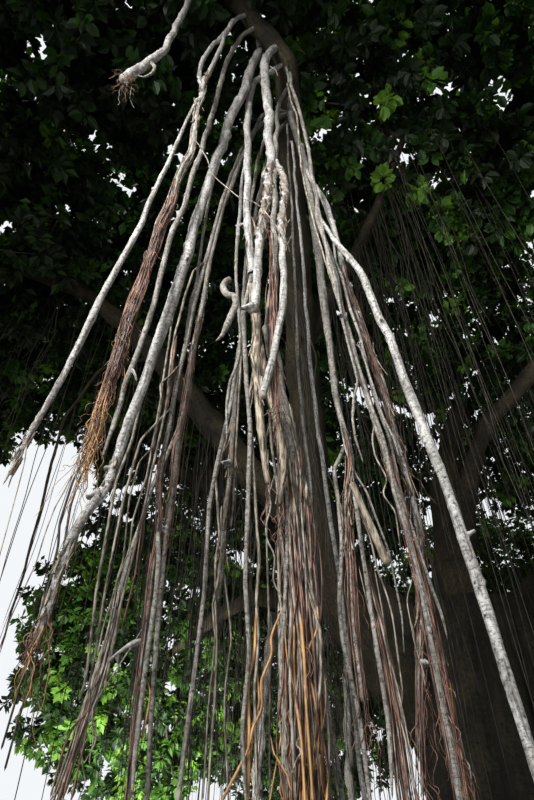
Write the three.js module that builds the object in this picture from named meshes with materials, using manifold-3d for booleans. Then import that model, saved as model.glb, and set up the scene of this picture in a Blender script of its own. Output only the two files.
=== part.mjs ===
// A whole banyan tree: a fluted trunk, its boughs, the aerial roots that hang from them and a wide
// crown. Millimetres, +Z up, the origin at the middle of the flat cut under the trunk.
import * as THREE from "three";
import { mergeVertices } from "three/addons/utils/BufferGeometryUtils.js";
import Module from "manifold-3d";

const wasm = await Module();
wasm.setup();

// Gap left between two pieces that touch, the room that a leaf keeps from a limb, and the number of
// stretches in which that room is tried
const CLEAR = 0.3;
const ROOM = 12;
const TRIED = 8;

// Trunk: height to its fork, girths up it, number of ribs, and how far it leans at the fork
const TRUNK_HEIGHT = 5000;
const TRUNK_GIRTHS = [3300, 2500, 2050, 1850, 1750, 1720, 1680, 1600, 1440];
const TRUNK_SIDES = 28;
const TRUNK_STEPS = 6;
const TRUNK_LEAN = [60, -90];
const RIBS = 7;
const RIB_DEPTH_FOOT = 0.17;
const RIB_DEPTH_FORK = 0.08;
const RIB_TWIST = 0.5;

// Boughs and roots are many-sided tubes: sides round, and length of one step along them
const BOUGH_SIDES = 7;
const BOUGH_STEP = 1250;
const ROOT_SIDES = 6;
const ROOT_STEP = 900;
const FLARE = 1.45;
const BOUGH_TAPER = [1, 0.62, 0.45, 0.22, 0];

// Boughs that leave the trunk on a plain arch. turn is the compass direction in degrees from +X to
// +Y, reach the plan distance to the tip, leaves and ends the heights of foot and tip.
const ARCHED_BOUGHS = {
  bough_right: {
    turn: -18, reach: 6000, leaves: 4000, ends: 7700,
    arch: 700, sway: 320, girths: [540, 210],
  },
  bough_right_back: {
    turn: 25, reach: 6200, leaves: 4350, ends: 7900,
    arch: 900, sway: -300, girths: [500, 200],
  },
  bough_back_right: {
    turn: 66, reach: 6000, leaves: 3900, ends: 6900,
    arch: 1100, sway: 260, girths: [540, 210],
  },
  bough_back: {
    turn: 104, reach: 6300, leaves: 4350, ends: 7000,
    arch: 1250, sway: -250, girths: [500, 200],
  },
  bough_back_left: {
    turn: 134, reach: 6200, leaves: 3850, ends: 6600,
    arch: 1200, sway: 250, girths: [540, 200],
  },
  bough_left_high: {
    turn: 161, reach: 5600, leaves: 4300, ends: 9500,
    arch: 350, sway: -220, girths: [400, 160],
  },
};

// Boughs whose course has a character of its own: the places that each passes, foot first
const FREE_BOUGHS = {
  bough_leader: {
    from: "trunk",
    girths: [640, 200],
    places: [[0, 40, 4600], [110, 170, 6200], [290, 300, 7600], [900, 480, 9100], [1150, 560, 9900]],
  },
  bough_over_roots: {
    from: "trunk",
    girths: [600, 160],
    places: [[-250, -90, 3900], [-1560, -480, 4560], [-2060, -1600, 6090], [-2200, -3300, 7520],
      [-2340, -4800, 8300], [-2410, -5800, 8700], [-2950, -6050, 9350], [-3500, -6400, 9560],
      [-3900, -6800, 9650]],
  },
  bough_left: {
    from: "trunk",
    girths: [560, 180],
    places: [[-250, 60, 4200], [-1500, -350, 5500], [-2960, -1300, 6650], [-4350, -2000, 8270],
      [-5240, -2400, 8950], [-6500, -2850, 9000]],
  },
  bough_arch: {
    from: "bough_leader",
    girths: [330, 180],
    places: [[60, 120, 5600], [240, -420, 6350], [290, -640, 7240], [470, -830, 7560],
      [850, -1120, 7520], [1540, -1700, 8380], [2150, -3300, 8950], [2400, -4900, 9050]],
  },
  limb_front: {
    from: "bough_over_roots",
    girths: [260, 130],
    places: [[-2170, -2900, 7250], [-1500, -3500, 8150], [-1000, -4100, 9150]],
  },
  limb_left_inner: {
    from: "bough_left",
    girths: [260, 130],
    places: [[-2700, -1130, 6450], [-3200, -500, 7800], [-3700, 100, 9200]],
  },
  limb_back_inner: {
    from: "bough_back",
    girths: [260, 130],
    places: [[-640, 2450, 6400], [-1000, 3000, 7700], [-1300, 3400, 9100]],
  },
  limb_right_inner: {
    from: "bough_right_back",
    girths: [260, 130],
    places: [[2250, 850, 6500], [2800, 1250, 7700], [3500, 1600, 9000]],
  },
};

// Aerial roots. Each hangs in a plane of its own, depth being that plane's Y, from the point of its
// carrier nearest to its first place [X, Z]. A strand is a second stem that the root forks into.
const ROOTS = {
  root_cut_left: {
    from: "bough_over_roots", depth: -6190, girths: [90, 95, 92],
    places: [[-3340, 9200], [-3390, 7810], [-3405, 7240], [-3430, 6640], [-3500, 6340], [-3625, 6140]],
  },
  root_twins_left: {
    from: "bough_over_roots", depth: -5940, girths: [80, 72, 66, 56, 48, 40, 30],
    places: [[-2960, 9100], [-3060, 8320], [-3190, 7620], [-3180, 7060], [-3130, 6370], [-3120, 5560],
      [-3142, 4950], [-3181, 4580], [-3214, 4296], [-3228, 3970], [-3221, 3690], [-3227, 3380],
      [-3237, 3140], [-3247, 2840]],
    strands: [{
      at: 9000, girths: [70, 66],
      places: [[-2988, 8500], [-3045, 7714], [-3110, 7164], [-3102, 6700], [-3115, 6300]],
    }],
  },
  root_far_left: {
    from: "root_twins_left", depth: -5850, girths: [46, 50, 58, 60, 36],
    places: [[-3195, 6570], [-3248, 5926], [-3297, 5276], [-3345, 4691], [-3386, 4286], [-3428, 3884],
      [-3450, 3447], [-3478, 3181], [-3500, 2946], [-3554, 2816]],
  },
  root_grey_left: {
    from: "bough_over_roots", depth: -5760, girths: [80, 66, 54, 48, 30],
    places: [[-2925, 8980], [-3004, 8024], [-3053, 6783], [-3084, 5880], [-3153, 5180], [-3174, 4678],
      [-3185, 4260], [-3200, 3906], [-3239, 3589], [-3241, 3310], [-3253, 2995]],
  },
  root_thick: {
    from: "bough_over_roots", depth: -5640, girths: [135, 132, 122, 112, 100, 96, 66, 50],
    places: [[-2655, 8500], [-2823, 7764], [-2962, 6357], [-3056, 5319], [-3126, 4292], [-3169, 3666],
      [-3218, 3262], [-3266, 3050], [-3284, 2839], [-3286, 2587], [-3283, 2367]],
    strands: [{ at: 2990, girths: [62, 50], places: [[-3330, 2800], [-3350, 2502], [-3365, 2323]] }],
  },
  root_slim_left: {
    from: "bough_over_roots", depth: -5400, girths: [62, 46, 40, 42, 40, 28, 24],
    places: [[-2600, 7800], [-2935, 6070], [-3020, 4920], [-3070, 4300], [-3070, 3730], [-3090, 3270],
      [-3090, 2840], [-3063, 2550], [-3046, 2230], [-3020, 1560]],
  },
  root_knotty_left: {
    from: "bough_over_roots", depth: -5290, girths: [80, 68, 54, 48, 42, 34, 26],
    places: [[-2560, 8100], [-2870, 6700], [-2990, 5500], [-3028, 4350], [-3045, 3800], [-3050, 3280],
      [-3065, 2980], [-3072, 2820], [-3020, 2500], [-2980, 1800]],
  },
  root_low_left: {
    from: "root_knotty_left", depth: -5210, girths: [36, 34, 32, 30],
    places: [[-3060, 3640], [-3150, 3320], [-3221, 2965], [-3234, 2600], [-3250, 2370], [-3290, 2250],
      [-3310, 1980]],
  },
  root_hollow: {
    from: "bough_over_roots", depth: -5560, girths: [88, 76, 66, 58],
    places: [[-2660, 8500], [-2775, 7600], [-2755, 6400], [-2745, 5600], [-2715, 5150], [-2692, 4620]],
  },
  root_curled: {
    from: "root_hollow", depth: -5450, girths: [38, 40, 40, 34],
    places: [[-2790, 6500], [-2800, 5560], [-2800, 4890], [-2820, 4440], [-2890, 4270]],
  },
  root_long_smooth: {
    from: "bough_over_roots", depth: -5370, girths: [46, 42, 40, 36, 26, 24],
    places: [[-2500, 7900], [-2700, 6500], [-2745, 5210], [-2730, 4620], [-2765, 4080], [-2815, 3690],
      [-2837, 3220], [-2854, 2776], [-2858, 2430], [-2875, 2230], [-2890, 1480]],
  },
  root_broken: {
    from: "bough_over_roots", depth: -5240, girths: [52, 54, 50, 48, 44, 34],
    places: [[-2450, 8100], [-2660, 6400], [-2740, 5200], [-2767, 4260], [-2784, 3800], [-2784, 3320],
      [-2790, 2865], [-2808, 2660]],
  },
  root_centre: {
    from: "bough_over_roots", depth: -5760, girths: [122, 112, 102, 84, 66, 60],
    places: [[-2600, 8700], [-2629, 7940], [-2592, 6840], [-2570, 5840], [-2607, 5260], [-2636, 4670],
      [-2640, 4070], [-2672, 3860]],
    strands: [{
      at: 6100, girths: [70, 62, 52, 44],
      places: [[-2505, 5650], [-2474, 5230], [-2515, 4724], [-2521, 4135], [-2490, 3813], [-2522, 3560],
        [-2621, 3345]],
    }],
  },
  root_peeled: {
    from: "root_centre", depth: -5660, girths: [72, 72, 54, 36],
    places: [[-2662, 4050], [-2655, 3800], [-2642, 3500], [-2622, 3190], [-2592, 2950]],
  },
  root_bundle: {
    from: "bough_over_roots", depth: -5520, girths: [60, 58, 60, 70, 112, 140, 120],
    places: [[-2420, 8300], [-2520, 6800], [-2550, 5400], [-2571, 4370], [-2560, 3690], [-2497, 3235],
      [-2488, 2730], [-2487, 2344], [-2496, 1912], [-2500, 1350]],
  },
  root_second_peeled: {
    from: "root_bundle", depth: -5625, girths: [46, 54, 48, 36],
    places: [[-2590, 3800], [-2595, 3500], [-2547, 3300], [-2524, 3150], [-2557, 2870]],
  },
  root_pair_left: {
    from: "bough_over_roots", depth: -5340, girths: [32, 28, 28, 26, 22],
    places: [[-2400, 7600], [-2410, 5000], [-2424, 4050], [-2408, 3440], [-2406, 3000], [-2398, 2610],
      [-2399, 2360], [-2365, 1980], [-2340, 1620]],
  },
  root_pair_right: {
    from: "bough_over_roots", depth: -5180, girths: [36, 34, 36, 34, 30, 24],
    places: [[-2350, 7600], [-2334, 4790], [-2332, 4100], [-2309, 3556], [-2300, 3072], [-2291, 2693],
      [-2272, 2430], [-2260, 2060], [-2250, 1500]],
  },
  root_broad: {
    from: "bough_over_roots", depth: -5440, girths: [80, 80, 76, 74, 76, 62, 34, 26],
    places: [[-2390, 8200], [-2362, 7410], [-2262, 6140], [-2268, 5280], [-2255, 4490], [-2262, 3876],
      [-2241, 3413], [-2214, 3200], [-2180, 3050], [-2136, 2832], [-2120, 2700]],
    strands: [{
      at: 3260, girths: [44, 34, 26],
      places: [[-2262, 2960], [-2256, 2700], [-2269, 2440], [-2276, 2200]],
    }],
  },
  root_strands: {
    from: "bough_over_roots", depth: -5650, girths: [42, 40, 42, 46, 42, 34, 30],
    places: [[-2400, 8300], [-2320, 7220], [-2266, 6333], [-2270, 5328], [-2221, 4738], [-2208, 4211],
      [-2185, 3844], [-2150, 3476], [-2095, 3241], [-2074, 2883], [-2050, 2610], [-2046, 2350],
      [-2056, 2160], [-2075, 1700]],
  },
  root_rough: {
    from: "root_broad", depth: -5545, girths: [60, 74, 56, 50, 48, 42, 32, 30, 26],
    places: [[-2262, 6400], [-2177, 5540], [-2134, 4940], [-2112, 4380], [-2053, 4000], [-2020, 3620],
      [-1984, 3294], [-1982, 2995], [-1990, 2640], [-1985, 2282], [-2020, 2125], [-2069, 2010],
      [-2150, 1915]],
  },
  root_smooth_right: {
    from: "root_strands", depth: -5735, girths: [52, 60, 60, 60, 62, 64, 58, 50, 44],
    places: [[-2215, 5150], [-2110, 4760], [-2057, 4300], [-2003, 3783], [-1960, 3400], [-1938, 3003],
      [-1922, 2745], [-1882, 2640], [-1882, 2486], [-1890, 2298], [-1876, 2078], [-1864, 1938],
      [-1850, 1520]],
  },
};

// Pillar roots that have reached the ground: [X, Y] of the foot, carrier, girths from top to foot,
// and the shares of the height where each one straightens
const PILLARS = {
  pillar_right: { from: "bough_right", stands: [3900, -1750], girths: [190, 170, 210, 360] },
  pillar_back: { from: "bough_back", stands: [-1150, 4450], girths: [170, 150, 190, 330] },
  pillar_back_left: { from: "bough_back_left", stands: [-2750, 2850], girths: [180, 160, 200, 340] },
};

const PILLAR_KNEES = [0.6, 0.25];

// Lone roots that hang free under the other boughs: [X, Y] of the tip, carrier, and height of the
// tip. Each sways by the shares in LONE_BENDS, given as [share of the drop, share of the sway].
const LONE_ROOTS = {
  root_lone_arch: { from: "bough_arch", hangs: [1900, -2500], tip: 3300 },
  root_lone_right: { from: "bough_right", hangs: [5000, -1900], tip: 2600 },
  root_lone_back_right: { from: "bough_back_right", hangs: [1700, 4100], tip: 2900 },
  root_lone_left_near: { from: "bough_left", hangs: [-4000, -1850], tip: 4100 },
  root_lone_left: { from: "bough_left", hangs: [-5000, -2300], tip: 3600 },
  root_lone_left_high: { from: "bough_left_high", hangs: [-3700, 1250], tip: 3400 },
};
const LONE_GIRTHS = [90, 64, 52, 40, 24];
const LONE_SWAY = 110;
const LONE_BENDS = [[0.2, 0.4], [0.45, -0.6], [0.7, 0.3], [1, 0.9]];

// Masses of foliage: the bough each one ends, the middle of its space and its half sizes
const MASSES = {
  mass_front_left: { bough: "bough_over_roots", middle: [-4400, -6900, 10400], half: [3300, 3300, 2200] },
  mass_front_right: { bough: "bough_arch", middle: [2700, -7000, 9800], half: [3300, 3200, 2300] },
  mass_right: { bough: "bough_right", middle: [7200, -2500, 8300], half: [3200, 3500, 2700] },
  mass_right_back: { bough: "bough_right_back", middle: [6800, 3600, 8600], half: [3500, 3600, 2900] },
  mass_back_right: { bough: "bough_back_right", middle: [3200, 7300, 7800], half: [3700, 3200, 3850] },
  mass_back: { bough: "bough_back", middle: [-1700, 8200, 7500], half: [3200, 3000, 3500] },
  mass_back_left: { bough: "bough_back_left", middle: [-5300, 6100, 7500], half: [3300, 3300, 3800] },
  mass_left_high: { bough: "bough_left_high", middle: [-7100, 2100, 11000], half: [2900, 2800, 1900] },
  mass_left: { bough: "bough_left", middle: [-7700, -3200, 9800], half: [3200, 3400, 2300] },
  mass_inner_front: { bough: "limb_front", middle: [-1000, -4100, 10900], half: [3500, 3200, 2200] },
  mass_inner_left: { bough: "limb_left_inner", middle: [-4000, -300, 10900], half: [3300, 3600, 2400] },
  mass_inner_back: { bough: "limb_back_inner", middle: [-1900, 4000, 10500], half: [3700, 3200, 2700] },
  mass_inner_right: { bough: "limb_right_inner", middle: [3800, 900, 10300], half: [3400, 3500, 2800] },
  mass_top: { bough: "bough_leader", middle: [700, 300, 12000], half: [3200, 3000, 1900] },
};
const TWIG_TIPS = 11;
const SPRAYS = 3;
const SPRAY_LIFT = [0.13, 0.45];
const SPRAY_SHARES = [1, 0.82, 0.66];
const TIP_DEPTH = [0.6, 0.85];
const TWIG_SIDES = 3;
const TWIG_GIRTHS = [120, 100, 90];
const TWIG_FORK = 0.55;
const STEM_SIDES = 5;
const STEM_SHARE = 0.9;
const STEM_ELBOW = 0.35;
const STEM_FORKS = [0.35, 0.7, 1];
const SPRAY_LENGTH = 2000;
const SPRAY_WIDTH = 1150;
const SPRAY_THICKNESS = 40;
const SPRAY_SUNK = 60;
// Corners closer than this are joined where pieces of a mass are fused
const SEAM = 4;
const GOLDEN_ANGLE = Math.PI * (3 - Math.sqrt(5));
const SEED_STEP = 7919;
// Share of its own half sizes that a mass keeps between it and its neighbours
const PARTING = 0.03;

const WOOD = {
  trunk: [0x8d8778, 0.85],
  bough: [0x857f6e, 0.85],
  root: [0xc3beb4, 0.7],
  peeled: [0xc9b78f, 0.75],
  leaf: [0x33502a, 0.6],
};

const solids = {};
const routes = {};
const tree = new THREE.Group();

const vector = (place) => new THREE.Vector3(...place);
const blend = (values, share) => {
  const at = Math.min(Math.max(share, 0), 1) * (values.length - 1);
  const low = Math.min(Math.floor(at), values.length - 2);
  return values[low] + (values[low + 1] - values[low]) * (at - low);
};

// A seeded run of even numbers between 0 and 1, so that each build gives the same tree
function dice(seed) {
  let state = seed;
  return () => {
    state = (state * 16807) % 2147483647;
    return state / 2147483647;
  };
}

function solidOf(geometry) {
  const shape = geometry.clone();
  shape.deleteAttribute("normal");
  shape.deleteAttribute("uv");
  const merged = mergeVertices(shape, 1e-4);
  return new wasm.Manifold(new wasm.Mesh({
    numProp: 3,
    vertProperties: new Float32Array(merged.attributes.position.array),
    triVerts: new Uint32Array(merged.index.array),
  }));
}

function largest(solid) {
  const parts = solid.decompose();
  return parts.reduce((best, part) => (part.volume() > best.volume() ? part : best));
}

function place(name, solid, [colour, roughness]) {
  const { vertProperties, triVerts } = solid.getMesh();
  const geometry = new THREE.BufferGeometry();
  geometry.setAttribute("position", new THREE.BufferAttribute(vertProperties, 3));
  geometry.setIndex(new THREE.BufferAttribute(triVerts, 1));
  geometry.computeVertexNormals();
  const material = new THREE.MeshStandardMaterial({ color: colour, roughness, metalness: 0 });
  const mesh = new THREE.Mesh(geometry, material);
  mesh.name = name;
  tree.add(mesh);
  solids[name] = solid;
}

// Bends a closed cylinder along a route, its half width at each step being radius(share, angle).
// The spare is added all round and past both ends.
function bent(curve, radius, sides, steps, spare = 0) {
  const frames = curve.computeFrenetFrames(steps, false);
  const shape = new THREE.CylinderGeometry(1, 1, 1, sides, steps);
  const spots = shape.attributes.position;
  for (let i = 0; i < spots.count; i += 1) {
    const step = Math.round((0.5 - spots.getY(i)) * steps);
    const angle = Math.atan2(spots.getZ(i), spots.getX(i));
    const out = Math.hypot(spots.getX(i), spots.getZ(i)) * (radius(step / steps, angle) + spare);
    const past = { 0: -spare, [steps]: spare }[step] ?? 0;
    const spot = curve.getPointAt(step / steps).addScaledVector(frames.tangents[step], past);
    spot.addScaledVector(frames.normals[step], Math.cos(angle) * out);
    spot.addScaledVector(frames.binormals[step], Math.sin(angle) * out);
    spots.setXYZ(i, spot.x, spot.y, spot.z);
  }
  return solidOf(shape);
}

// Keeps a limb's course, as the middles of its rings, and the way that its tip points
function keepRoute(name, curve, girths, steps) {
  const route = { rings: curve.getSpacedPoints(steps), ahead: curve.getTangentAt(1), girths };
  routes[name] = (routes[name] ?? []).concat(route);
}

// A tapering limb through its places, with a grown copy that cuts a seat for it in its neighbours
function limb(name, places, girths, sides, stepLength) {
  const curve = new THREE.CatmullRomCurve3(places.map(vector), false, "centripetal");
  const steps = Math.max(4, Math.round(curve.getLength() / stepLength));
  keepRoute(name, curve, girths, steps);
  const radius = (share) => blend(girths, share) / 2;
  return { solid: bent(curve, radius, sides, steps), grown: bent(curve, radius, sides, steps, CLEAR) };
}

// The straight stretches between a route's rings, each with its greatest half width
function stretchesOf({ rings, girths }) {
  const last = rings.length - 1;
  return rings.slice(1).map((end, i) => ({
    line: new THREE.Line3(rings[i], end),
    radius: Math.max(blend(girths, i / last), blend(girths, (i + 1) / last)) / 2,
  }));
}

// The point of a carrier's middle line that lies nearest to a spot
function nearestOn(name, spot) {
  const points = stretchesOf(routes[name][0]).map(({ line }) =>
    line.closestPointToPoint(spot, true, new THREE.Vector3()),
  );
  return points.reduce((a, b) => (b.distanceTo(spot) < a.distanceTo(spot) ? b : a));
}

const seats = {};

// Cuts a piece clear of the pieces made before it that it would overlap
function seated(solid, carrier) {
  let cut = largest(solid.subtract(seats[carrier]));
  for (const name of Object.keys(seats)) {
    if (name !== carrier && cut.intersect(seats[name]).volume() > 0) {
      cut = largest(cut.subtract(seats[name]));
    }
  }
  return cut;
}

// Trunk: ribs, as of roots grown together, deepest at the flared foot, cut flat at the ground
function makeTrunk() {
  const fork = new THREE.Vector3(TRUNK_LEAN[0], TRUNK_LEAN[1], TRUNK_HEIGHT);
  const knee = new THREE.Vector3(0, 0, TRUNK_HEIGHT / 3);
  const curve = new THREE.CatmullRomCurve3([new THREE.Vector3(0, 0, 0), knee, fork]);
  const depth = (share) => RIB_DEPTH_FOOT + (RIB_DEPTH_FORK - RIB_DEPTH_FOOT) * Math.sqrt(share);
  const ribbed = (share, angle) => {
    const rib = Math.cos(RIBS * (angle + RIB_TWIST * share));
    return (blend(TRUNK_GIRTHS, share) / 2) * (1 + depth(share) * rib);
  };
  keepRoute("trunk", curve, TRUNK_GIRTHS, TRUNK_STEPS);
  const ground = new THREE.BoxGeometry(2 * TRUNK_GIRTHS[0], 2 * TRUNK_GIRTHS[0], TRUNK_GIRTHS[0]);
  ground.translate(0, 0, -TRUNK_GIRTHS[0] / 2);
  const trunk = bent(curve, ribbed, TRUNK_SIDES, TRUNK_STEPS).subtract(solidOf(ground));
  seats.trunk = bent(curve, ribbed, TRUNK_SIDES, TRUNK_STEPS, CLEAR);
  place("trunk", trunk, WOOD.trunk);
}

function archedRoute({ turn, reach, leaves, ends, arch, sway }) {
  const angle = THREE.MathUtils.degToRad(turn);
  const route = [];
  for (const share of [0, 0.3, 0.65, 1]) {
    const bow = Math.sin(Math.PI * share);
    const out = reach * share;
    const side = sway * bow;
    route.push([
      out * Math.cos(angle) - side * Math.sin(angle),
      out * Math.sin(angle) + side * Math.cos(angle),
      leaves + (ends - leaves) * share + arch * bow,
    ]);
  }
  return route;
}

// Boughs swell into what carries them over their first fifth, and taper evenly from there
function makeBough(name, carrier, places, [thick, thin]) {
  const girths = [thick * FLARE, ...BOUGH_TAPER.map((share) => thin + (thick - thin) * share)];
  const { solid, grown } = limb(name, places, girths, BOUGH_SIDES, BOUGH_STEP);
  const cut = seated(solid, carrier);
  seats[name] = grown;
  place(name, cut, WOOD.bough);
}

function makeRoot(name, { from, depth, girths, places, strands = [] }) {
  const route = places.map(([x, z]) => [x, depth, z]);
  route.unshift(nearestOn(from, vector(route[0])).toArray());
  let { solid, grown } = limb(name, route, girths, ROOT_SIDES, ROOT_STEP);
  for (const strand of strands) {
    const fork = strand.places.map(([x, z]) => [x, depth, z]);
    fork.unshift(nearestOn(name, new THREE.Vector3(fork[0][0], depth, strand.at)).toArray());
    const side = limb(name, fork, strand.girths, ROOT_SIDES, ROOT_STEP);
    solid = solid.add(side.solid);
    grown = grown.add(side.grown);
  }
  const cut = seated(solid, from);
  seats[name] = grown;
  place(name, cut, name.includes("peeled") ? WOOD.peeled : WOOD.root);
}

function makePillar(name, { from, stands, girths }) {
  const top = nearestOn(from, new THREE.Vector3(...stands, TRUNK_HEIGHT));
  const knees = [...PILLAR_KNEES, 0].map((share) => [...stands, top.z * share]);
  const { solid, grown } = limb(name, [top.toArray(), ...knees], girths, BOUGH_SIDES, BOUGH_STEP);
  const cut = seated(solid, from);
  seats[name] = grown;
  place(name, cut, WOOD.root);
}

function makeLoneRoot(name, { from, hangs, tip }) {
  const [x, y] = hangs;
  const top = nearestOn(from, new THREE.Vector3(x, y, 2 * tip));
  const bends = LONE_BENDS.map(([share, side]) => [
    x + side * LONE_SWAY,
    y - side * LONE_SWAY,
    top.z - (top.z - tip) * share,
  ]);
  const { solid, grown } = limb(name, [top.toArray(), ...bends], LONE_GIRTHS, ROOT_SIDES, ROOT_STEP);
  const cut = seated(solid, from);
  seats[name] = grown;
  place(name, cut, WOOD.root);
}

// Every limb's stretches, for telling how near a twig or a spray would come
let limbStretches = [];

function depthIn({ middle, half }, spot) {
  return Math.hypot(
    (spot.x - middle[0]) / half[0],
    (spot.y - middle[1]) / half[1],
    (spot.z - middle[2]) / half[2],
  );
}

// Whether a spot lies in a mass's own space and in no neighbour's
function inside(name, spot) {
  const own = depthIn(MASSES[name], spot);
  if (own > 1) {
    return false;
  }
  return Object.keys(MASSES).every(
    (other) => other === name || depthIn(MASSES[other], spot) > own + PARTING,
  );
}

// Whether a straight piece of the given half width, tried at points along it, keeps off every limb
function keepsOff(start, end, halfWidth) {
  const near = new THREE.Vector3();
  const pad = halfWidth + start.distanceTo(end) / (2 * TRIED) + ROOM;
  for (let i = 0; i <= TRIED; i += 1) {
    const spot = start.clone().lerp(end, i / TRIED);
    for (const { line, radius } of limbStretches) {
      line.closestPointToPoint(spot, true, near);
      if (near.distanceTo(spot) < radius * (1 + RIB_DEPTH_FORK) + pad) {
        return false;
      }
    }
  }
  return true;
}

function stick(start, end, startGirth, endGirth, sides) {
  const shape = new THREE.CylinderGeometry(endGirth / 2, startGirth / 2, start.distanceTo(end), sides);
  const along = end.clone().sub(start).normalize();
  const turn = new THREE.Quaternion().setFromUnitVectors(new THREE.Vector3(0, 1, 0), along);
  shape.applyQuaternion(turn);
  const middle = start.clone().lerp(end, 0.5);
  shape.translate(middle.x, middle.y, middle.z);
  return solidOf(shape);
}

// A spray of leaves as one thin eight-faced blade, its root at the start point, turned to face out
function spray(start, along, out, length) {
  const shape = new THREE.OctahedronGeometry(1);
  shape.scale(length / 2, SPRAY_WIDTH / 2, SPRAY_THICKNESS / 2);
  shape.translate(length / 2, 0, 0);
  const across = out.clone().cross(along).normalize();
  const face = along.clone().cross(across);
  shape.applyMatrix4(new THREE.Matrix4().makeBasis(along, across, face).setPosition(start));
  return solidOf(shape);
}

// Places for twig tips, spread evenly over the space by the golden angle at seeded depths
function tipPlaces(name, count, roll) {
  const { middle, half } = MASSES[name];
  const tips = [];
  for (let i = 0; i < count; i += 1) {
    const height = 1 - (2 * i + 1) / count;
    const ring = Math.sqrt(1 - height * height);
    const depth = TIP_DEPTH[0] + (TIP_DEPTH[1] - TIP_DEPTH[0]) * roll();
    tips.push(new THREE.Vector3(
      middle[0] + half[0] * depth * ring * Math.cos(i * GOLDEN_ANGLE),
      middle[1] + half[1] * depth * ring * Math.sin(i * GOLDEN_ANGLE),
      middle[2] + half[2] * depth * height,
    ));
  }
  return tips;
}

// The sprays at a twig's tip: a whorl that lies in the crown's surface and lifts a little out of it
function whorl(name, root, out, roll) {
  const side = new THREE.Vector3(0, 0, 1).cross(out).normalize();
  const start = 2 * Math.PI * roll();
  const blades = [];
  for (let i = 0; i < SPRAYS; i += 1) {
    const along = side.clone().applyAxisAngle(out, start + (2 * Math.PI * i) / SPRAYS);
    along.addScaledVector(out, SPRAY_LIFT[0] + (SPRAY_LIFT[1] - SPRAY_LIFT[0]) * roll()).normalize();
    const fits = SPRAY_SHARES.find((share) => {
      const end = root.clone().addScaledVector(along, SPRAY_LENGTH * share);
      const wide = root.clone().lerp(end, 0.5);
      return inside(name, end) && inside(name, wide) && keepsOff(root, end, SPRAY_WIDTH / 2);
    });
    if (fits) {
      blades.push(spray(root, along, out, SPRAY_LENGTH * fits));
    }
  }
  return blades;
}

// A mass: one stem from its bough's tip to the middle, then each tip, nearest first, is joined to
// the closest fork grown so far and bears a whorl of sprays
function makeMass(name, seed) {
  const { bough, middle } = MASSES[name];
  const roll = dice(seed);
  const { rings, ahead, girths } = routes[bough][0];
  const foot = rings.at(-1).clone().addScaledVector(ahead, CLEAR);
  const heart = vector(middle);
  const girth = girths.at(-1) * STEM_SHARE;
  const elbow = foot.clone().addScaledVector(ahead, foot.distanceTo(heart) * STEM_ELBOW);
  const sunk = elbow.clone().addScaledVector(ahead, -girth / 2);
  const pieces = [
    stick(foot, elbow, girth, girth * STEM_SHARE, STEM_SIDES),
    stick(sunk, heart, girth * STEM_SHARE * STEM_SHARE, TWIG_GIRTHS[0], STEM_SIDES),
  ];
  const forks = STEM_FORKS.map((share) => ({ spot: elbow.clone().lerp(heart, share), order: 0 }));
  const tips = tipPlaces(name, TWIG_TIPS, roll).filter((tip) => inside(name, tip));
  tips.sort((a, b) => a.distanceTo(heart) - b.distanceTo(heart));
  for (const tip of tips) {
    const parent = forks.reduce((a, b) => (b.spot.distanceTo(tip) < a.spot.distanceTo(tip) ? b : a));
    const order = Math.min(parent.order, 1);
    if (!keepsOff(parent.spot, tip, TWIG_GIRTHS[order] / 2)) {
      continue;
    }
    pieces.push(stick(parent.spot, tip, TWIG_GIRTHS[order], TWIG_GIRTHS[order + 1], TWIG_SIDES));
    forks.push({ spot: parent.spot.clone().lerp(tip, TWIG_FORK), order: parent.order + 1 });
    const root = tip.clone().addScaledVector(tip.clone().sub(parent.spot).normalize(), -SPRAY_SUNK);
    pieces.push(...whorl(name, root, tip.clone().sub(heart).normalize(), roll));
  }
  place(name, largest(wasm.Manifold.union(pieces)).simplify(SEAM), WOOD.leaf);
}

makeTrunk();
for (const [name, bough] of Object.entries(ARCHED_BOUGHS)) {
  makeBough(name, "trunk", archedRoute(bough), bough.girths);
}
for (const [name, bough] of Object.entries(FREE_BOUGHS)) {
  makeBough(name, bough.from, bough.places, bough.girths);
}
for (const [name, root] of Object.entries(ROOTS)) {
  makeRoot(name, root);
}
for (const [name, pillar] of Object.entries(PILLARS)) {
  makePillar(name, pillar);
}
for (const [name, root] of Object.entries(LONE_ROOTS)) {
  makeLoneRoot(name, root);
}
limbStretches = Object.values(routes).flat().flatMap(stretchesOf);
for (const [index, name] of Object.keys(MASSES).entries()) {
  makeMass(name, (index + 1) * SEED_STEP);
}

export default tree;
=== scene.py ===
import math

import bmesh
import bpy
import numpy as np
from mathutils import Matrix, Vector
from mathutils.kdtree import KDTree


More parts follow.
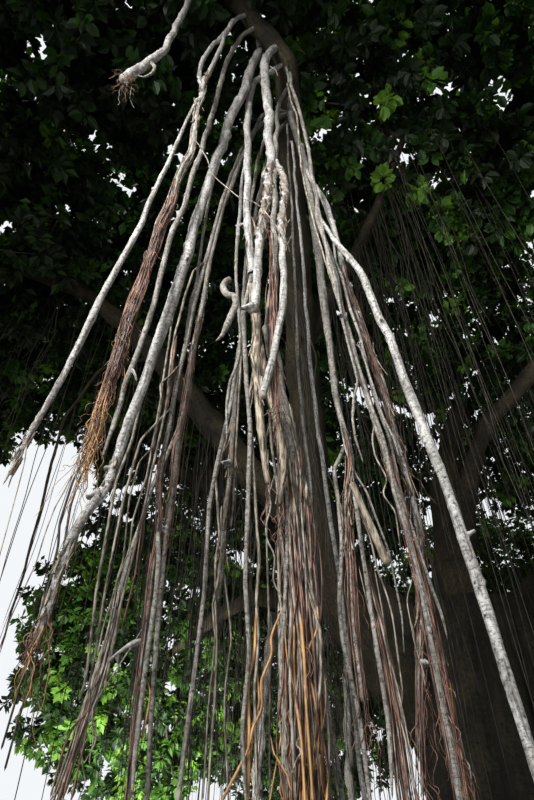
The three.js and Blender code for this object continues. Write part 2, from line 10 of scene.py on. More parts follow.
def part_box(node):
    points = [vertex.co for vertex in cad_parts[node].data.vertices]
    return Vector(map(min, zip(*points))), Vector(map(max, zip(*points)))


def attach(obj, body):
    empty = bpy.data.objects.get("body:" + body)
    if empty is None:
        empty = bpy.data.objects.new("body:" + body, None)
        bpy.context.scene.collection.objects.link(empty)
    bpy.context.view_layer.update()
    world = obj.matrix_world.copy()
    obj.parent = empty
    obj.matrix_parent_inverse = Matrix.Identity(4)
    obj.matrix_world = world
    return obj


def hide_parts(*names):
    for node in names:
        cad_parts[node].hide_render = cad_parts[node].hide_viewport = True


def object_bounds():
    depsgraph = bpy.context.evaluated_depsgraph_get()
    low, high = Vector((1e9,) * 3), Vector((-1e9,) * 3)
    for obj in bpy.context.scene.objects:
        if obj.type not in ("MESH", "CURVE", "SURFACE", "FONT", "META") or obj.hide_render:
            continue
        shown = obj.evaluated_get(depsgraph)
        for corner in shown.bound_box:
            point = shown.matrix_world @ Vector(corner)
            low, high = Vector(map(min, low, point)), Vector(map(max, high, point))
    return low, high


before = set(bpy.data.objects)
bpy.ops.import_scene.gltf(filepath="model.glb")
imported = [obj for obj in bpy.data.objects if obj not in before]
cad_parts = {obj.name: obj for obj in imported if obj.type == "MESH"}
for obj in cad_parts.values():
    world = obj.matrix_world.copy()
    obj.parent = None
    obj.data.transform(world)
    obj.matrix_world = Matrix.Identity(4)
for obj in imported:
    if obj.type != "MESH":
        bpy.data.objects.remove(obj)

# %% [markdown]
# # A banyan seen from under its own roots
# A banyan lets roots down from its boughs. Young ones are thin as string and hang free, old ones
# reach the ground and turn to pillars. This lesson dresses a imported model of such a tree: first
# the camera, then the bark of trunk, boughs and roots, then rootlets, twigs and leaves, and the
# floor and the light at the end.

CAD_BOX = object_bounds()
CAD_LOW, CAD_HIGH = np.array(CAD_BOX[0]), np.array(CAD_BOX[1])
NODES = sorted(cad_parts)
TAU = 2 * math.pi
print("packed box in metres:", np.round(CAD_LOW, 2), np.round(CAD_HIGH, 2))

# %% [markdown]
# ## Camera
# The picture is taken by somebody who stands under the crown and tips the camera half way up. A
# focal length of 27 mm on a 36 mm high frame takes in 67 degrees from bottom to top, so the roots
# spread downwards by perspective alone.

# %% Camera
EYE = Vector((-2.6, -7.6, 1.5))
TILT_UP = 45
FOCAL_MM = 27.0

camera_data = bpy.data.cameras.new("camera")
camera_data.lens = FOCAL_MM
camera_data.sensor_width = 36.0
camera_data.clip_end = 300.0
camera = bpy.data.objects.new("camera", camera_data)
camera.location = EYE
camera.rotation_euler = (math.radians(90 + TILT_UP), 0, 0)
bpy.context.scene.collection.objects.link(camera)
bpy.context.scene.camera = camera
print("camera stands", round(EYE.xy.length, 1), "m from the trunk")

# %% [markdown]
# ## Colour and node helpers
# Colours are noted as sRGB hex, as a paint card gives them, and one function makes them linear.
# One more function adds a shader node with its settings, its inputs and its ramp, so that each
# material below reads as a short recipe.


# %% Helpers for colours and nodes
def linear(code):
    """An sRGB hex colour as linear red, green, blue and an alpha of 1."""
    parts = [int(code[i:i + 2], 16) / 255 for i in (0, 2, 4)]
    return [c / 12.92 if c < 0.04045 else ((c + 0.055) / 1.055) ** 2.4 for c in parts] + [1.0]


def node(tree, kind, inputs=None, out=0, stops=(), **settings):
    """Adds a node; an input is a socket to link, a number or an sRGB hex; stops fill a ramp."""
    made = tree.nodes.new(kind)
    for key, value in settings.items():
        setattr(made, key, value)
    for socket, value in (inputs or {}).items():
        if isinstance(value, bpy.types.NodeSocket):
            tree.links.new(value, made.inputs[socket])
        else:
            made.inputs[socket].default_value = linear(value) if isinstance(value, str) else value
    for i, (place, code) in enumerate(stops):
        band = made.color_ramp.elements
        stop = band[i] if i < 2 else band.new(place)
        stop.position, stop.color = place, linear(code)
    return made.outputs[out]


def new_material(name, roughness, specular):
    """A material with its node tree and its Principled shader."""
    material = bpy.data.materials.new(name)
    material.use_nodes = True
    shader = material.node_tree.nodes["Principled BSDF"]
    shader.inputs["Roughness"].default_value = roughness
    shader.inputs["Specular IOR Level"].default_value = specular
    return material, material.node_tree, shader


print("a mid grey of 808080 is in linear light", round(linear("808080")[0], 3))

# %% [markdown]
# ## Bark
# A fig's bark is thin smooth cork. Four things break it up: dark breathing pores a few
# millimetres wide, fine rings across the root every few centimetres, where it grew and paused,
# fissures along it, where it split, and patches where the cork has scaled off and shows tan. A
# pattern on the object's own axes would lie across a leaning limb, so every limb carries an
# attribute named bark: the place of each point as if its limb had been pulled straight, in
# metres, so rings and pores follow each bend. Two more attributes say how much cork is gone and
# how deep a point lies in a cleft; the cleft value paints shade into the colour.

# %% Bark materials
MIX = "ShaderNodeMix"
NOISE = "ShaderNodeTexNoise"
RAMP = "ShaderNodeValToRGB"
MATH = "ShaderNodeMath"
MAPPING = "ShaderNodeMapping"
# Real sizes in metres: spots of mottling, drifts of tone, gaps between pores, flakes, bump depth.
# Pores and rings are about three times coarser than on a live root, or they would not show
MOTTLE = 0.016
PATCH = 0.20
PORE_GAP = 0.022
FLAKE = 0.06
RELIEF = 0.005
# Streaks: width round the limb, length along it, detail, roughness, ramp from and to, strength
STREAKS = {"rings": (0.06, 0.006, 2.0, 0.5, 0.60, 0.68, 0.35),
           "fissures": (0.014, 0.22, 3.0, 0.6, 0.57, 0.66, 0.6)}


def bark_material(name, pale, drift, bare, pore, roughness, scale=1.0):
    """Cork with mottling, pores, cross rings and scaled patches; scale widens every pattern."""
    material, tree, shader = new_material(name, roughness, 0.3)
    straight = node(tree, "ShaderNodeAttribute", out="Vector", attribute_name="bark")
    worn = node(tree, "ShaderNodeAttribute", out="Fac", attribute_name="worn")
    # How deep a point lies in a cleft, used below for painted shade
    cleft = node(tree, "ShaderNodeAttribute", out="Fac", attribute_name="cleft")
    # Broad drift between weathered and clean cork, and a fine mottle within it
    broad = node(tree, NOISE, {"Vector": straight, "Scale": 1 / (PATCH * scale), "Detail": 5.0,
                               "Roughness": 0.6})
    tone = node(tree, RAMP, {0: broad}, stops=[(0.36, drift), (0.60, pale)])
    fine = node(tree, NOISE, {"Vector": straight, "Scale": 1 / (MOTTLE * scale), "Detail": 5.0,
                              "Roughness": 0.75})
    shade = node(tree, RAMP, {0: fine}, stops=[(0.36, "78746f"), (0.56, "ffffff")])
    tone = node(tree, MIX, {0: 0.9, 6: tone, 7: shade}, 2, data_type="RGBA", blend_type="MULTIPLY")
    # Rings are noise squeezed along the limb, fissures the same noise drawn out along it
    streaks = []
    for width, length, detail, rough, low, high, strength in STREAKS.values():
        width, length = 1 / (width * scale), 1 / (length * scale)
        squeezed = node(tree, MAPPING, {"Vector": straight, "Scale": (width, width, length)})
        dashes = node(tree, NOISE, {"Vector": squeezed, "Scale": 1.0, "Detail": detail,
                                    "Roughness": rough})
        streak = node(tree, RAMP, {0: dashes}, stops=[(low, "000000"), (high, "ffffff")])
        share = node(tree, MATH, {0: streak, 1: strength}, operation="MULTIPLY")
        tone = node(tree, MIX, {0: share, 6: tone, 7: pore}, 2, data_type="RGBA")
        streaks.append(streak)
    # Breathing pores: short dark specks, thinned out by the mottle
    cells = node(tree, "ShaderNodeTexVoronoi", {"Vector": straight,
                                                "Scale": 1 / (PORE_GAP * scale)})
    speck = node(tree, RAMP, {0: cells}, stops=[(0.20, "ffffff"), (0.30, "000000")])
    thin = node(tree, RAMP, {0: fine}, stops=[(0.44, "ffffff"), (0.58, "000000")])
    flecks = node(tree, MATH, {0: speck, 1: thin}, operation="MULTIPLY")
    tone = node(tree, MIX, {0: flecks, 6: tone, 7: pore}, 2, data_type="RGBA")
    # Cork that has scaled off, in ragged patches where the attribute says that it is worn
    flakes = node(tree, NOISE, {"Vector": straight, "Scale": 1 / (FLAKE * scale), "Detail": 4.0,
                                "Roughness": 0.7})
    edge = node(tree, MATH, {0: flakes, 1: worn}, operation="ADD")
    gone = node(tree, RAMP, {0: edge}, stops=[(0.84, "000000"), (0.86, "ffffff")])
    tone = node(tree, MIX, {0: gone, 6: tone, 7: bare}, 2, data_type="RGBA")
    # Painted shade: clefts in the relief and the inside of a hollow end turn towards the pore
    # colour
    tone = node(tree, MIX, {0: cleft, 6: tone, 7: pore}, 2, data_type="RGBA")
    tree.links.new(tone, shader.inputs["Base Color"])
    both = node(tree, MATH, {0: streaks[0], 1: streaks[1]}, operation="ADD")
    cut = node(tree, MATH, {0: both, 1: gone}, operation="ADD")
    height = node(tree, MATH, {0: fine, 1: cut}, operation="SUBTRACT")
    bump = node(tree, "ShaderNodeBump", {"Height": height, "Strength": 0.7,
                                         "Distance": RELIEF * scale})
    tree.links.new(bump, shader.inputs["Normal"])
    return material


# Cork of free hanging roots: thin and dry, bleached by the air to a pale warm grey
ROOT_BARK = bark_material("pale_root_cork", "b7b5b1", "94918c", "85766a", "302d29", 0.7)
# The same cork where it is older: greyer, with lichen and dust in it
AGED_BARK = bark_material("aged_root_cork", "98948c", "6b665f", "77675a", "25211d", 0.75)
# Cork of the boughs: thicker and olive brown, painted darker as the shade under the crown
BOUGH_BARK = bark_material("olive_bough_cork_painted_shade", "37301d", "1b170e", "4c3c20", "0f0d08", 0.85, 2.0)
# Cork of the trunk: old, grey brown and fissured between the grown-together roots, painted near
# black here as the shade under the crown
TRUNK_BARK = bark_material("fissured_trunk_cork_painted_shade", "2b2619", "110e09", "332a1a", "080705", 0.9, 3.0)
print("bark materials:", ROOT_BARK.name, BOUGH_BARK.name, TRUNK_BARK.name)

# %% [markdown]
# ## Stripped wood and rootlets
# Where a root has broken, its dry wood shows straw yellow with long fibres. Young rootlets have
# the colour of their thin skin: rust red, and bright ochre at growing tips. They are too thin to
# show a pattern across, so their tone drifts along the bunch, over about a decimetre. Real wood
# fibres are a millimetre wide, and here they are drawn ten times coarser, so that they show.


# %% Materials of stripped wood, rootlets and twigs
WEATHER_SCALE = 9.0


def fibre_material(name, pale, dark, across, along):
    """Long fibres down the object, across and along being their width and length in metres."""
    material, tree, shader = new_material(name, 0.7, 0.3)
    spot = node(tree, "ShaderNodeTexCoord", out="Object")
    squeezed = node(tree, MAPPING, {"Vector": spot, "Scale": (1 / across, 1 / across, 1 / along)})
    grain = node(tree, NOISE, {"Vector": squeezed, "Scale": 1.0, "Detail": 5.0, "Roughness": 0.65})
    drift = node(tree, NOISE, {"Vector": spot, "Scale": WEATHER_SCALE, "Detail": 2.0})
    tone = node(tree, RAMP, {0: grain}, stops=[(0.40, dark), (0.58, pale)])
    weather = node(tree, RAMP, {0: drift}, stops=[(0.35, "8c857a"), (0.62, "ffffff")])
    tone = node(tree, MIX, {0: 0.7, 6: tone, 7: weather}, 2, data_type="RGBA",
                blend_type="MULTIPLY")
    tree.links.new(tone, shader.inputs["Base Color"])
    bump = node(tree, "ShaderNodeBump", {"Height": grain, "Strength": 0.6, "Distance": across / 2})
    tree.links.new(bump, shader.inputs["Normal"])
    return material


# Dry wood of a broken root, stripped of its bark
BARE_WOOD = fibre_material("stripped_fig_wood", "a09482", "43382d", 0.011, 0.10)
# Skin of rootlets that have just hardened
RUST_ROOTLET = fibre_material("rust_red_rootlet", "8b6a5c", "3c2922", 0.012, 0.09)
# Skin of growing rootlets, still full of sap
OCHRE_ROOTLET = fibre_material("ochre_rootlet", "caa06c", "866444", 0.012, 0.08)
# Thin cork of young hanging roots, and a darker copy of it as painted shade, for those in deep
# shade
GREY_ROOTLET = fibre_material("grey_young_root", "a39b8e", "514a40", 0.012, 0.05)
SHADE_ROOTLET = fibre_material("young_root_painted_shade", "3b362d", "1c1914", 0.012, 0.06)
# Smooth young bark of twigs
TWIG_BARK = fibre_material("twig_bark", "463e2c", "211c13", 0.02, 0.10)
print("wood and rootlet materials:", BARE_WOOD.name, RUST_ROOTLET.name, OCHRE_ROOTLET.name)

# %% [markdown]
# ## Leaves
# A banyan's leaf is thick and leathery: dark and glossy above, duller below, and light that comes
# through it turns yellow green. A little translucent shader is mixed in for that. The tints
# differ by spray, young sprays being lighter, so four plain materials are dealt out; masses in
# more light draw the lighter ones more often, which paints light and shade into the crown.


# %% Leaf materials
# How much of the light goes through a blade instead of being thrown back
THROUGH_SHARE = 0.3


def leaf_material(name, colour, through):
    """A waxy blade that lets a share of the light through."""
    material, tree, shader = new_material(name, 0.5, 0.3)
    shader.inputs["Base Color"].default_value = linear(colour)
    glow = node(tree, "ShaderNodeBsdfTranslucent", {"Color": through})
    both = node(tree, "ShaderNodeMixShader", {0: THROUGH_SHARE, 1: shader.outputs[0], 2: glow})
    tree.links.new(both, tree.nodes["Material Output"].inputs["Surface"])
    return material


# Living leaf blades: the oldest dark with thick wax, the youngest thin, soft and yellow green
# Shaded masses draw the darker tints more often, as painted shade
LEAF_TINTS = [
    leaf_material("old_leaf", "15220f", "2a4a0f"),
    leaf_material("full_leaf", "203615", "3d6b16"),
    leaf_material("bright_leaf", "3a5c1e", "679a26"),
    leaf_material("young_leaf", "587d2b", "93bd3a"),
]
print("leaf tints:", [tint.name for tint in LEAF_TINTS])

# %% [markdown]
# ## Reading the limbs' courses
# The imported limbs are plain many-sided tubes. To lay bark over them, each is cut by a row of
# planes with bisect_plane, and the middle and half width of every cut is kept. Where a limb forks
# a plane cuts two loops, so each loop is handed to the strand that ended nearest above it. A
# plane that meets the slanted end cuts only a corner of it, and such a cut is put right from the
# ones before.

# %% Cutting a limb into loops
JOIN = 1e-5


def unit(ways):
    """Directions brought to a length of 1."""
    return ways / np.maximum(np.linalg.norm(ways, axis=-1, keepdims=True), 1e-9)


def merged_copy(name):
    """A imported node's mesh with its loose triangles joined."""
    shape = bmesh.new()
    shape.from_mesh(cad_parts[name].data)
    bmesh.ops.remove_doubles(shape, verts=shape.verts[:], dist=JOIN)
    return shape


def plane_cut(shape, place, facing):
    """A copy of a shape that a plane has cut, and the vertices and edges of the cut."""
    whole = shape.copy()
    return whole, bmesh.ops.bisect_plane(
        whole, geom=whole.verts[:] + whole.edges[:] + whole.faces[:],
        plane_co=place, plane_no=facing)["geom_cut"]


def cut_loops(shape, place, facing):
    """Middles and mean half widths of the loops that a plane cuts through a shape."""
    whole, cut = plane_cut(shape, place, facing)
    edges = {e for e in cut if isinstance(e, bmesh.types.BMEdge)}
    loops = []
    while edges:
        todo, corners = [edges.pop()], set()
        while todo:
            edge = todo.pop()
            for corner in edge.verts:
                corners.add(corner)
                near = [e for e in corner.link_edges if e in edges]
                edges.difference_update(near)
                todo.extend(near)
        spots = np.array([c.co for c in corners])
        middle = (spots.min(0) + spots.max(0)) / 2
        loops.append((middle, np.linalg.norm(spots - middle, axis=1).mean()))
    whole.free()
    return loops


# %% Joining loops into strands
SLICE = 0.12
FEWEST_LOOPS = 9
# A cut less wide than this share of the one before has met the slanted end
SLANTED = 0.8
END_MARGIN = 0.004
# A many-sided tube's corners lie further out than the round limb that has its girth
CORNER_SHARE = 0.95


def mended(course, facing):
    """Puts the slanted end right, and narrows the cuts that ran askew through the limb."""
    course = np.array(course)
    for bad in (2, 1):
        if len(course) > 6 and course[-bad, 3] < SLANTED * course[-bad - 1, 3]:
            way = course[-bad - 1] - course[-bad - 3]
            for i in range(bad):
                course[len(course) - bad + i] = course[-bad - 1] + way * (i + 1) / 2
            course[-bad:, 3] = course[-bad - 1, 3]
            break
    ways = unit(np.gradient(course[:, :3], axis=0))
    askew = np.clip(np.abs(ways @ np.array(facing)), 0.5, 1)
    course[:, 3] *= CORNER_SHARE * 2 / (1 + 1 / askew)
    return course


def strands_of(name, facing, skip):
    """A node's strands from its carrier outwards, each an array of x, y, z and half width."""
    shape = merged_copy(name)
    facing = Vector(facing).normalized()
    heights = [v.co.dot(facing) for v in shape.verts]
    low, high = min(heights) + skip, max(heights) - END_MARGIN
    strands, open_ends = [], []
    for height in np.linspace(low, high, max(6, int((high - low) / SLICE))):
        loops = cut_loops(shape, facing * float(height), facing)
        ends = []
        for middle, half in sorted(loops, key=lambda loop: -loop[1]):
            free = [s for s in open_ends if not any(s is e for e in ends)]
            near = min(free, key=lambda s: np.linalg.norm(s[-1][:3] - middle), default=None)
            if near is None or np.linalg.norm(near[-1][:3] - middle) > 3 * SLICE:
                near = []
                strands.append(near)
                if open_ends:
                    carrier = min(open_ends, key=lambda s: np.linalg.norm(s[-1][:3] - middle))
                    near.append(np.append(carrier[-1][:3], half))
            near.append(np.append(middle, half))
            ends.append(near)
        open_ends = ends
    shape.free()
    return [mended(s, facing) for s in strands if len(s) > FEWEST_LOOPS or s is strands[0]]


# %% The courses of all limbs
DOWN = (0, 0, -1)
TRUNK_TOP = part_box("trunk")[1].z
# Where the boughs part, inside the trunk's top
FORK = np.array((0.05, -0.05, TRUNK_TOP - 0.5))
# The first cut lies this far in, past the slanted or sunk start
ROOT_SKIP, BOUGH_SKIP = 0.2, 0.35
COURSES = {}
for name in NODES:
    if name.startswith(("root", "pillar")):
        COURSES[name] = strands_of(name, DOWN, ROOT_SKIP)
    elif name.startswith(("bough", "limb")):
        spots = np.array([v.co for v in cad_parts[name].data.vertices])
        away = np.linalg.norm(spots - FORK, axis=1)
        along = spots[away.argmax()] - spots[away.argmin()]
        COURSES[name] = strands_of(name, along, BOUGH_SKIP)
print("strands in each root that forks:", {n: len(s) for n, s in COURSES.items() if len(s) > 1})

# %% [markdown]
# ## Laying bark along a course
# A limb's bark is a grid rolled into a tube: create_grid makes it, each vertex is moved to its
# place round the course, and remove_doubles closes the seam and both ends. Ripples, joints and
# knots change the half width from point to point, so the outline itself is uneven, which a bump
# map can't do. The course gets kinks too: a hanging root is straight for a hand's length and then
# turns a little, where its tip once met a twig or the wind turned it.


# %% Smoothing and kinking a course
# Least and greatest length between two kinks, the ends that stay put, and the ease of a kink
KINK_GAP = (0.12, 0.42)
HELD_END = 0.3
KINK_EASE = 0.06


def finer(course, step, seed, kink, ease=0.30):
    """The course in even steps, its corners eased over a length, with seeded kinks sideways."""
    rng = np.random.default_rng(seed)
    legs = np.linalg.norm(np.diff(course[:, :3], axis=0), axis=1)
    along = np.append(0, np.cumsum(legs))
    count = max(10, int(along[-1] / step))
    at = np.linspace(0, along[-1], count)
    fine = np.stack([np.interp(at, along, course[:, i]) for i in range(4)], axis=1)
    fine = eased(fine, max(3, int(ease / step)) | 1)
    turns = np.append(0, np.cumsum(rng.uniform(*KINK_GAP, int(along[-1] / KINK_GAP[0]) + 2)))
    push = rng.normal(0, kink, (len(turns), 3))
    push[:, 2] = 0
    shift = np.stack([np.interp(at, turns, push[:, i]) for i in range(3)], axis=1)
    held = np.clip(np.minimum(at, at[-1] - at) / HELD_END, 0, 1)[:, None]
    fine[:, :3] += eased(shift * held, max(3, int(KINK_EASE / step)) | 1)
    return fine, at


def eased(rows, window):
    """A running mean over an odd window that leaves both ends in place."""
    if len(rows) <= 2 * window:
        return rows
    pad = window // 2
    kernel = np.hanning(window + 2)[1:-1]
    kernel /= kernel.sum()
    head = 2 * rows[0] - rows[pad:0:-1]
    tail = 2 * rows[-1] - rows[-2:-pad - 2:-1]
    longer = np.concatenate([head, rows, tail])
    return np.stack([np.convolve(longer[:, i], kernel, "valid") for i in range(rows.shape[1])], 1)


def frames_along(spots):
    """Two directions across the course at each point, carried along without twist."""
    ahead = unit(np.gradient(spots, axis=0))
    side = np.cross(ahead[0], (0.2, 1.0, 0.3))
    first, second = [], []
    for way in ahead:
        side = unit(side - way * side.dot(way))
        first.append(side)
        second.append(np.cross(way, side))
    return np.array(first), np.array(second)


SAMPLE = COURSES["root_thick"][0]
print("root_thick: from", len(SAMPLE), "cuts to", len(finer(SAMPLE, 0.02, 0, 0.0)[1]), "rows")


# %% Relief: ripples, joints and knots
def ripples(rng, around, along, waves):
    """Uneven relief from drifting waves: (count round, length along, share of half width)."""
    total = 0.0
    for count, length, share in waves:
        drift = 1.2 * np.sin(along * TAU / (2.7 * length) + rng.uniform(0, TAU))
        phase = rng.uniform(0, TAU)
        total = total + share * np.sin(count * around + along * TAU / length + drift + phase)
    return total


def swellings(rng, around, along, gap, size, length, one_sided):
    """Swollen joints all round, or knots on one side, at seeded gaps."""
    total = 0.0 * around * along
    at = rng.uniform(0.3, 1.0) * gap
    while at < along.max():
        side = 1.0
        if one_sided:
            side = np.clip(0.2 + 0.8 * np.cos(around - rng.uniform(0, TAU)), 0, 1)
        width = length * rng.uniform(0.6, 1.5)
        total = total + size * rng.uniform(0.3, 1.0) * side * np.exp(-((along - at) / width) ** 2)
        at += gap * rng.uniform(0.4, 1.6)
    return total


def columns_and_rows(at, sides):
    """Angles round a tube as one row, and places along it as one column."""
    return np.linspace(0, TAU, sides + 1)[None, :], at[:, None]


# %% [markdown]
# The far end of a limb may taper to a point, be cut blunt, or be hollow where its heart has
# rotted out. A hollow end turns inwards at its rim and runs a hand's length back up inside.

# %% Rolling a grid round a course
HOLLOW_SHARE = 0.74
HOLLOW_DEPTH = 0.14
# A hollow in the relief gets painted shade by so much for its depth, and no darker than this
CLEFT_SHADE_GAIN, CLEFT_SHADE_MOST = 4, 0.75


def end_widths(half, end):
    """Draws the half widths in at the far end: taper, blunt or hollow."""
    half = half.copy()
    half[0] = 0
    if end == "blunt":
        half[-2:] = half[-3] * np.array([0.9, 0.0])
    elif end == "taper":
        taper = min(12, len(half) // 3)
        half[-taper:] *= np.sqrt(np.linspace(1, 0, taper))
    return half


def bark_shape():
    """An empty bmesh with the layers that the bark materials read."""
    shape = bmesh.new()
    layers = (shape.verts.layers.float_vector.new("bark"), shape.verts.layers.float.new("worn"),
              shape.verts.layers.float.new("cleft"))
    return shape, layers


def grid_corners(shape, rows, columns):
    """Adds a flat grid and hands out its vertices, each with its row and column."""
    grid = bmesh.ops.create_grid(shape, x_segments=columns, y_segments=rows, size=0.5)
    for corner in grid["verts"]:
        yield corner, round((corner.co.y + 0.5) * rows), round((corner.co.x + 0.5) * columns)


def roll_up(shape, layers, fine, at, raised, sides, end, worn, offset=0.0):
    """Adds one bark tube: raised is its relief in rows and columns, worn a value for each row."""
    spots = fine[:, :3]
    first, second = frames_along(spots)
    around = np.linspace(0, TAU, sides + 1)
    rows = np.arange(len(at))
    half = end_widths(fine[:, 3], end)
    cleft = np.clip(-CLEFT_SHADE_GAIN * raised, 0, CLEFT_SHADE_MOST)
    if end == "hollow":
        step = at[1] - at[0]
        inner = len(at) - 1 - np.arange(0, int(HOLLOW_DEPTH / step) + 2)
        rows = np.append(rows, inner)
        half = np.append(half, np.append(half[inner[:-1]] * HOLLOW_SHARE, 0.0))
        # The inside of a hollow end is painted in full shade
        cleft = np.concatenate([cleft, np.ones((len(inner), sides + 1))])
    width = half[:, None] * (1 + raised[rows])
    width[:, -1] = width[:, 0]
    circle = (np.cos(around)[None, :, None], np.sin(around)[None, :, None])
    out = circle[0] * first[rows][:, None, :] + circle[1] * second[rows][:, None, :]
    places = spots[rows][:, None, :] + width[:, :, None] * out
    unrolled = np.stack([circle[0][..., 0] * width, circle[1][..., 0] * width,
                         np.repeat(at[rows][:, None] + offset, sides + 1, axis=1)], axis=2)
    for corner, row, column in grid_corners(shape, len(rows) - 1, sides):
        corner.co = places[row, column]
        corner[layers[0]] = unrolled[row, column]
        corner[layers[1]] = worn[rows[row]]
        corner[layers[2]] = cleft[row, column]


# A root bends to a bough's middle only where one is as near as this
CARRIER_NEAR = 0.8


def sunk_start(course, reach, carriers=None):
    """Lengthens a course back into what carries it, bending to the nearest carrier's middle."""
    start = course[0, :3] + unit(course[0, :3] - course[3, :3]) * reach
    if carriers is not None:
        gaps = np.linalg.norm(carriers[:, :3] - start, axis=1)
        if gaps.min() < CARRIER_NEAR:
            start = carriers[gaps.argmin(), :3]
    return np.vstack([np.append(start, course[0, 3]), course])


# %% [markdown]
# ## From bmesh to a piece of the tree
# Each finished shape has its seams merged and its faces turned outwards, gets its material, rides
# on the imported body and hides the imported nodes that it stands for.


# %% Turning shapes into pieces
def as_piece(name, mesh, materials, replaced):
    """Hangs a mesh on the tree's one body."""
    for material in materials:
        mesh.materials.append(material)
    piece = bpy.data.objects.new(name, mesh)
    bpy.context.scene.collection.objects.link(piece)
    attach(piece, "root")
    if replaced:
        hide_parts(*replaced)
    return piece


def finish_piece(name, shape, material, replaced):
    """Closes a bmesh into a piece."""
    bmesh.ops.remove_doubles(shape, verts=shape.verts[:], dist=JOIN)
    bmesh.ops.dissolve_degenerate(shape, edges=shape.edges[:], dist=JOIN)
    bmesh.ops.recalc_face_normals(shape, faces=shape.faces[:])
    mesh = bpy.data.meshes.new(name)
    shape.to_mesh(mesh)
    shape.free()
    mesh.polygons.foreach_set("use_smooth", [True] * len(mesh.polygons))
    return as_piece(name, mesh, [material], replaced)


# %% [markdown]
# ## The trunk
# An old banyan's trunk is many roots grown together, so it is ribbed like a bundle. The packed
# trunk gives its outline at each height by the same plane cuts, and finer ribs are laid over its
# own: each is a rounded root with a sharp cleft beside it, which the absolute value of a sine
# draws, and it wanders sideways as it climbs.

# %% Trunk
TRUNK_RINGS = 170
TRUNK_SIDES = 192
TRUNK_CUTS = 18
TRUNK_WAVES = [(5, 0.9, 0.012), (14, 0.35, 0.006)]
# Ribs: how many round the trunk, how fast they wander with height, and how deep
RIB_SETS = [(9, 0.8, 0.13), (17, 1.4, 0.085), (33, 2.3, 0.045)]
TRUNK_WEAR = 0.1
TRUNK_SEED = 3
# Painted shade in the trunk's clefts: so much for their depth, and no darker than this
TRUNK_CLEFT_SHADE_GAIN, TRUNK_CLEFT_SHADE_MOST = 5, 0.9


def trunk_outlines(around):
    """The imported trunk's middle and reach in each direction, at even heights."""
    packed = merged_copy("trunk")
    levels = np.linspace(0.02, TRUNK_TOP - 0.12, TRUNK_CUTS)
    reaches, middles = [], []
    for level in levels:
        whole, cut = plane_cut(packed, (0, 0, level), (0, 0, 1))
        spots = np.array([v.co for v in cut if isinstance(v, bmesh.types.BMVert)])
        middle = (spots.min(0) + spots.max(0)) / 2
        angles = np.arctan2(spots[:, 1] - middle[1], spots[:, 0] - middle[0]) % TAU
        order = np.argsort(angles)
        reach = np.linalg.norm(spots - middle, axis=1)
        reaches.append(np.interp(around, angles[order], reach[order], period=TAU))
        middles.append(middle)
        whole.free()
    packed.free()
    return levels, np.array(reaches), np.array(middles)


def trunk_bark():
    """The ribbed and cleft trunk as one closed piece."""
    rng = np.random.default_rng(TRUNK_SEED)
    around = np.linspace(0, TAU, TRUNK_SIDES + 1)
    levels, reaches, middles = trunk_outlines(around)
    heights = np.linspace(0.0, TRUNK_TOP - 0.02, TRUNK_RINGS)
    reach = np.stack([np.interp(heights, levels, column) for column in reaches.T], axis=1)
    lean = np.stack([np.interp(heights, levels, middles[:, i]) for i in (0, 1)], axis=1)
    at = heights[:, None]
    relief = ripples(rng, around[None, :], at, TRUNK_WAVES)
    for count, climb, share in RIB_SETS:
        sway = 0.5 * np.sin(at * climb + rng.uniform(0, TAU)) + 0.25 * np.sin(at * 2.6 * climb)
        turn = count / 2 * around[None, :] + sway + rng.uniform(0, TAU)
        relief = relief + share * (np.sqrt(np.abs(np.sin(turn))) - 0.8)
    width = reach * (1 + relief)
    width[:, -1] = width[:, 0]
    shape, layers = bark_shape()
    for corner, row, column in grid_corners(shape, TRUNK_RINGS - 1, TRUNK_SIDES):
        spread = width[row, column]
        corner.co = (lean[row, 0] + spread * math.cos(around[column]),
                     lean[row, 1] + spread * math.sin(around[column]), heights[row])
        corner[layers[0]] = corner.co
        corner[layers[1]] = TRUNK_WEAR
        # Clefts between the ribs are darkened as painted shade
        corner[layers[2]] = float(np.clip(-TRUNK_CLEFT_SHADE_GAIN * relief[row, column], 0,
                                          TRUNK_CLEFT_SHADE_MOST))
    bmesh.ops.remove_doubles(shape, verts=shape.verts[:], dist=JOIN)
    bmesh.ops.holes_fill(shape, edges=[e for e in shape.edges if e.is_boundary], sides=0)
    return finish_piece("trunk_bark", shape, TRUNK_BARK, ["trunk"])


print("trunk:", len(trunk_bark().data.polygons), "faces")

# %% [markdown]
# ## Boughs
# A bough is a root's opposite: it tapers evenly, bends slowly and carries broad ripples where
# wood has grown under strain. Its bark starts inside what carries it, so no gap shows at the
# fork.

# %% Boughs
BOUGH_STEP = 0.07
BOUGH_SIDES = 24
BOUGH_WAVES = [(2, 1.7, 0.05), (3, 0.8, 0.04), (5, 0.45, 0.025), (9, 0.22, 0.012)]
# Knots: gap between them and their length in metres, and their size as a share of half width
BOUGH_KNOTS = {"gap": 1.1, "size": 0.3, "length": 0.16, "one_sided": True}
BOUGH_SUNK = 0.55
BOUGH_KINK = 0.02
BOUGH_WEAR = 0.08
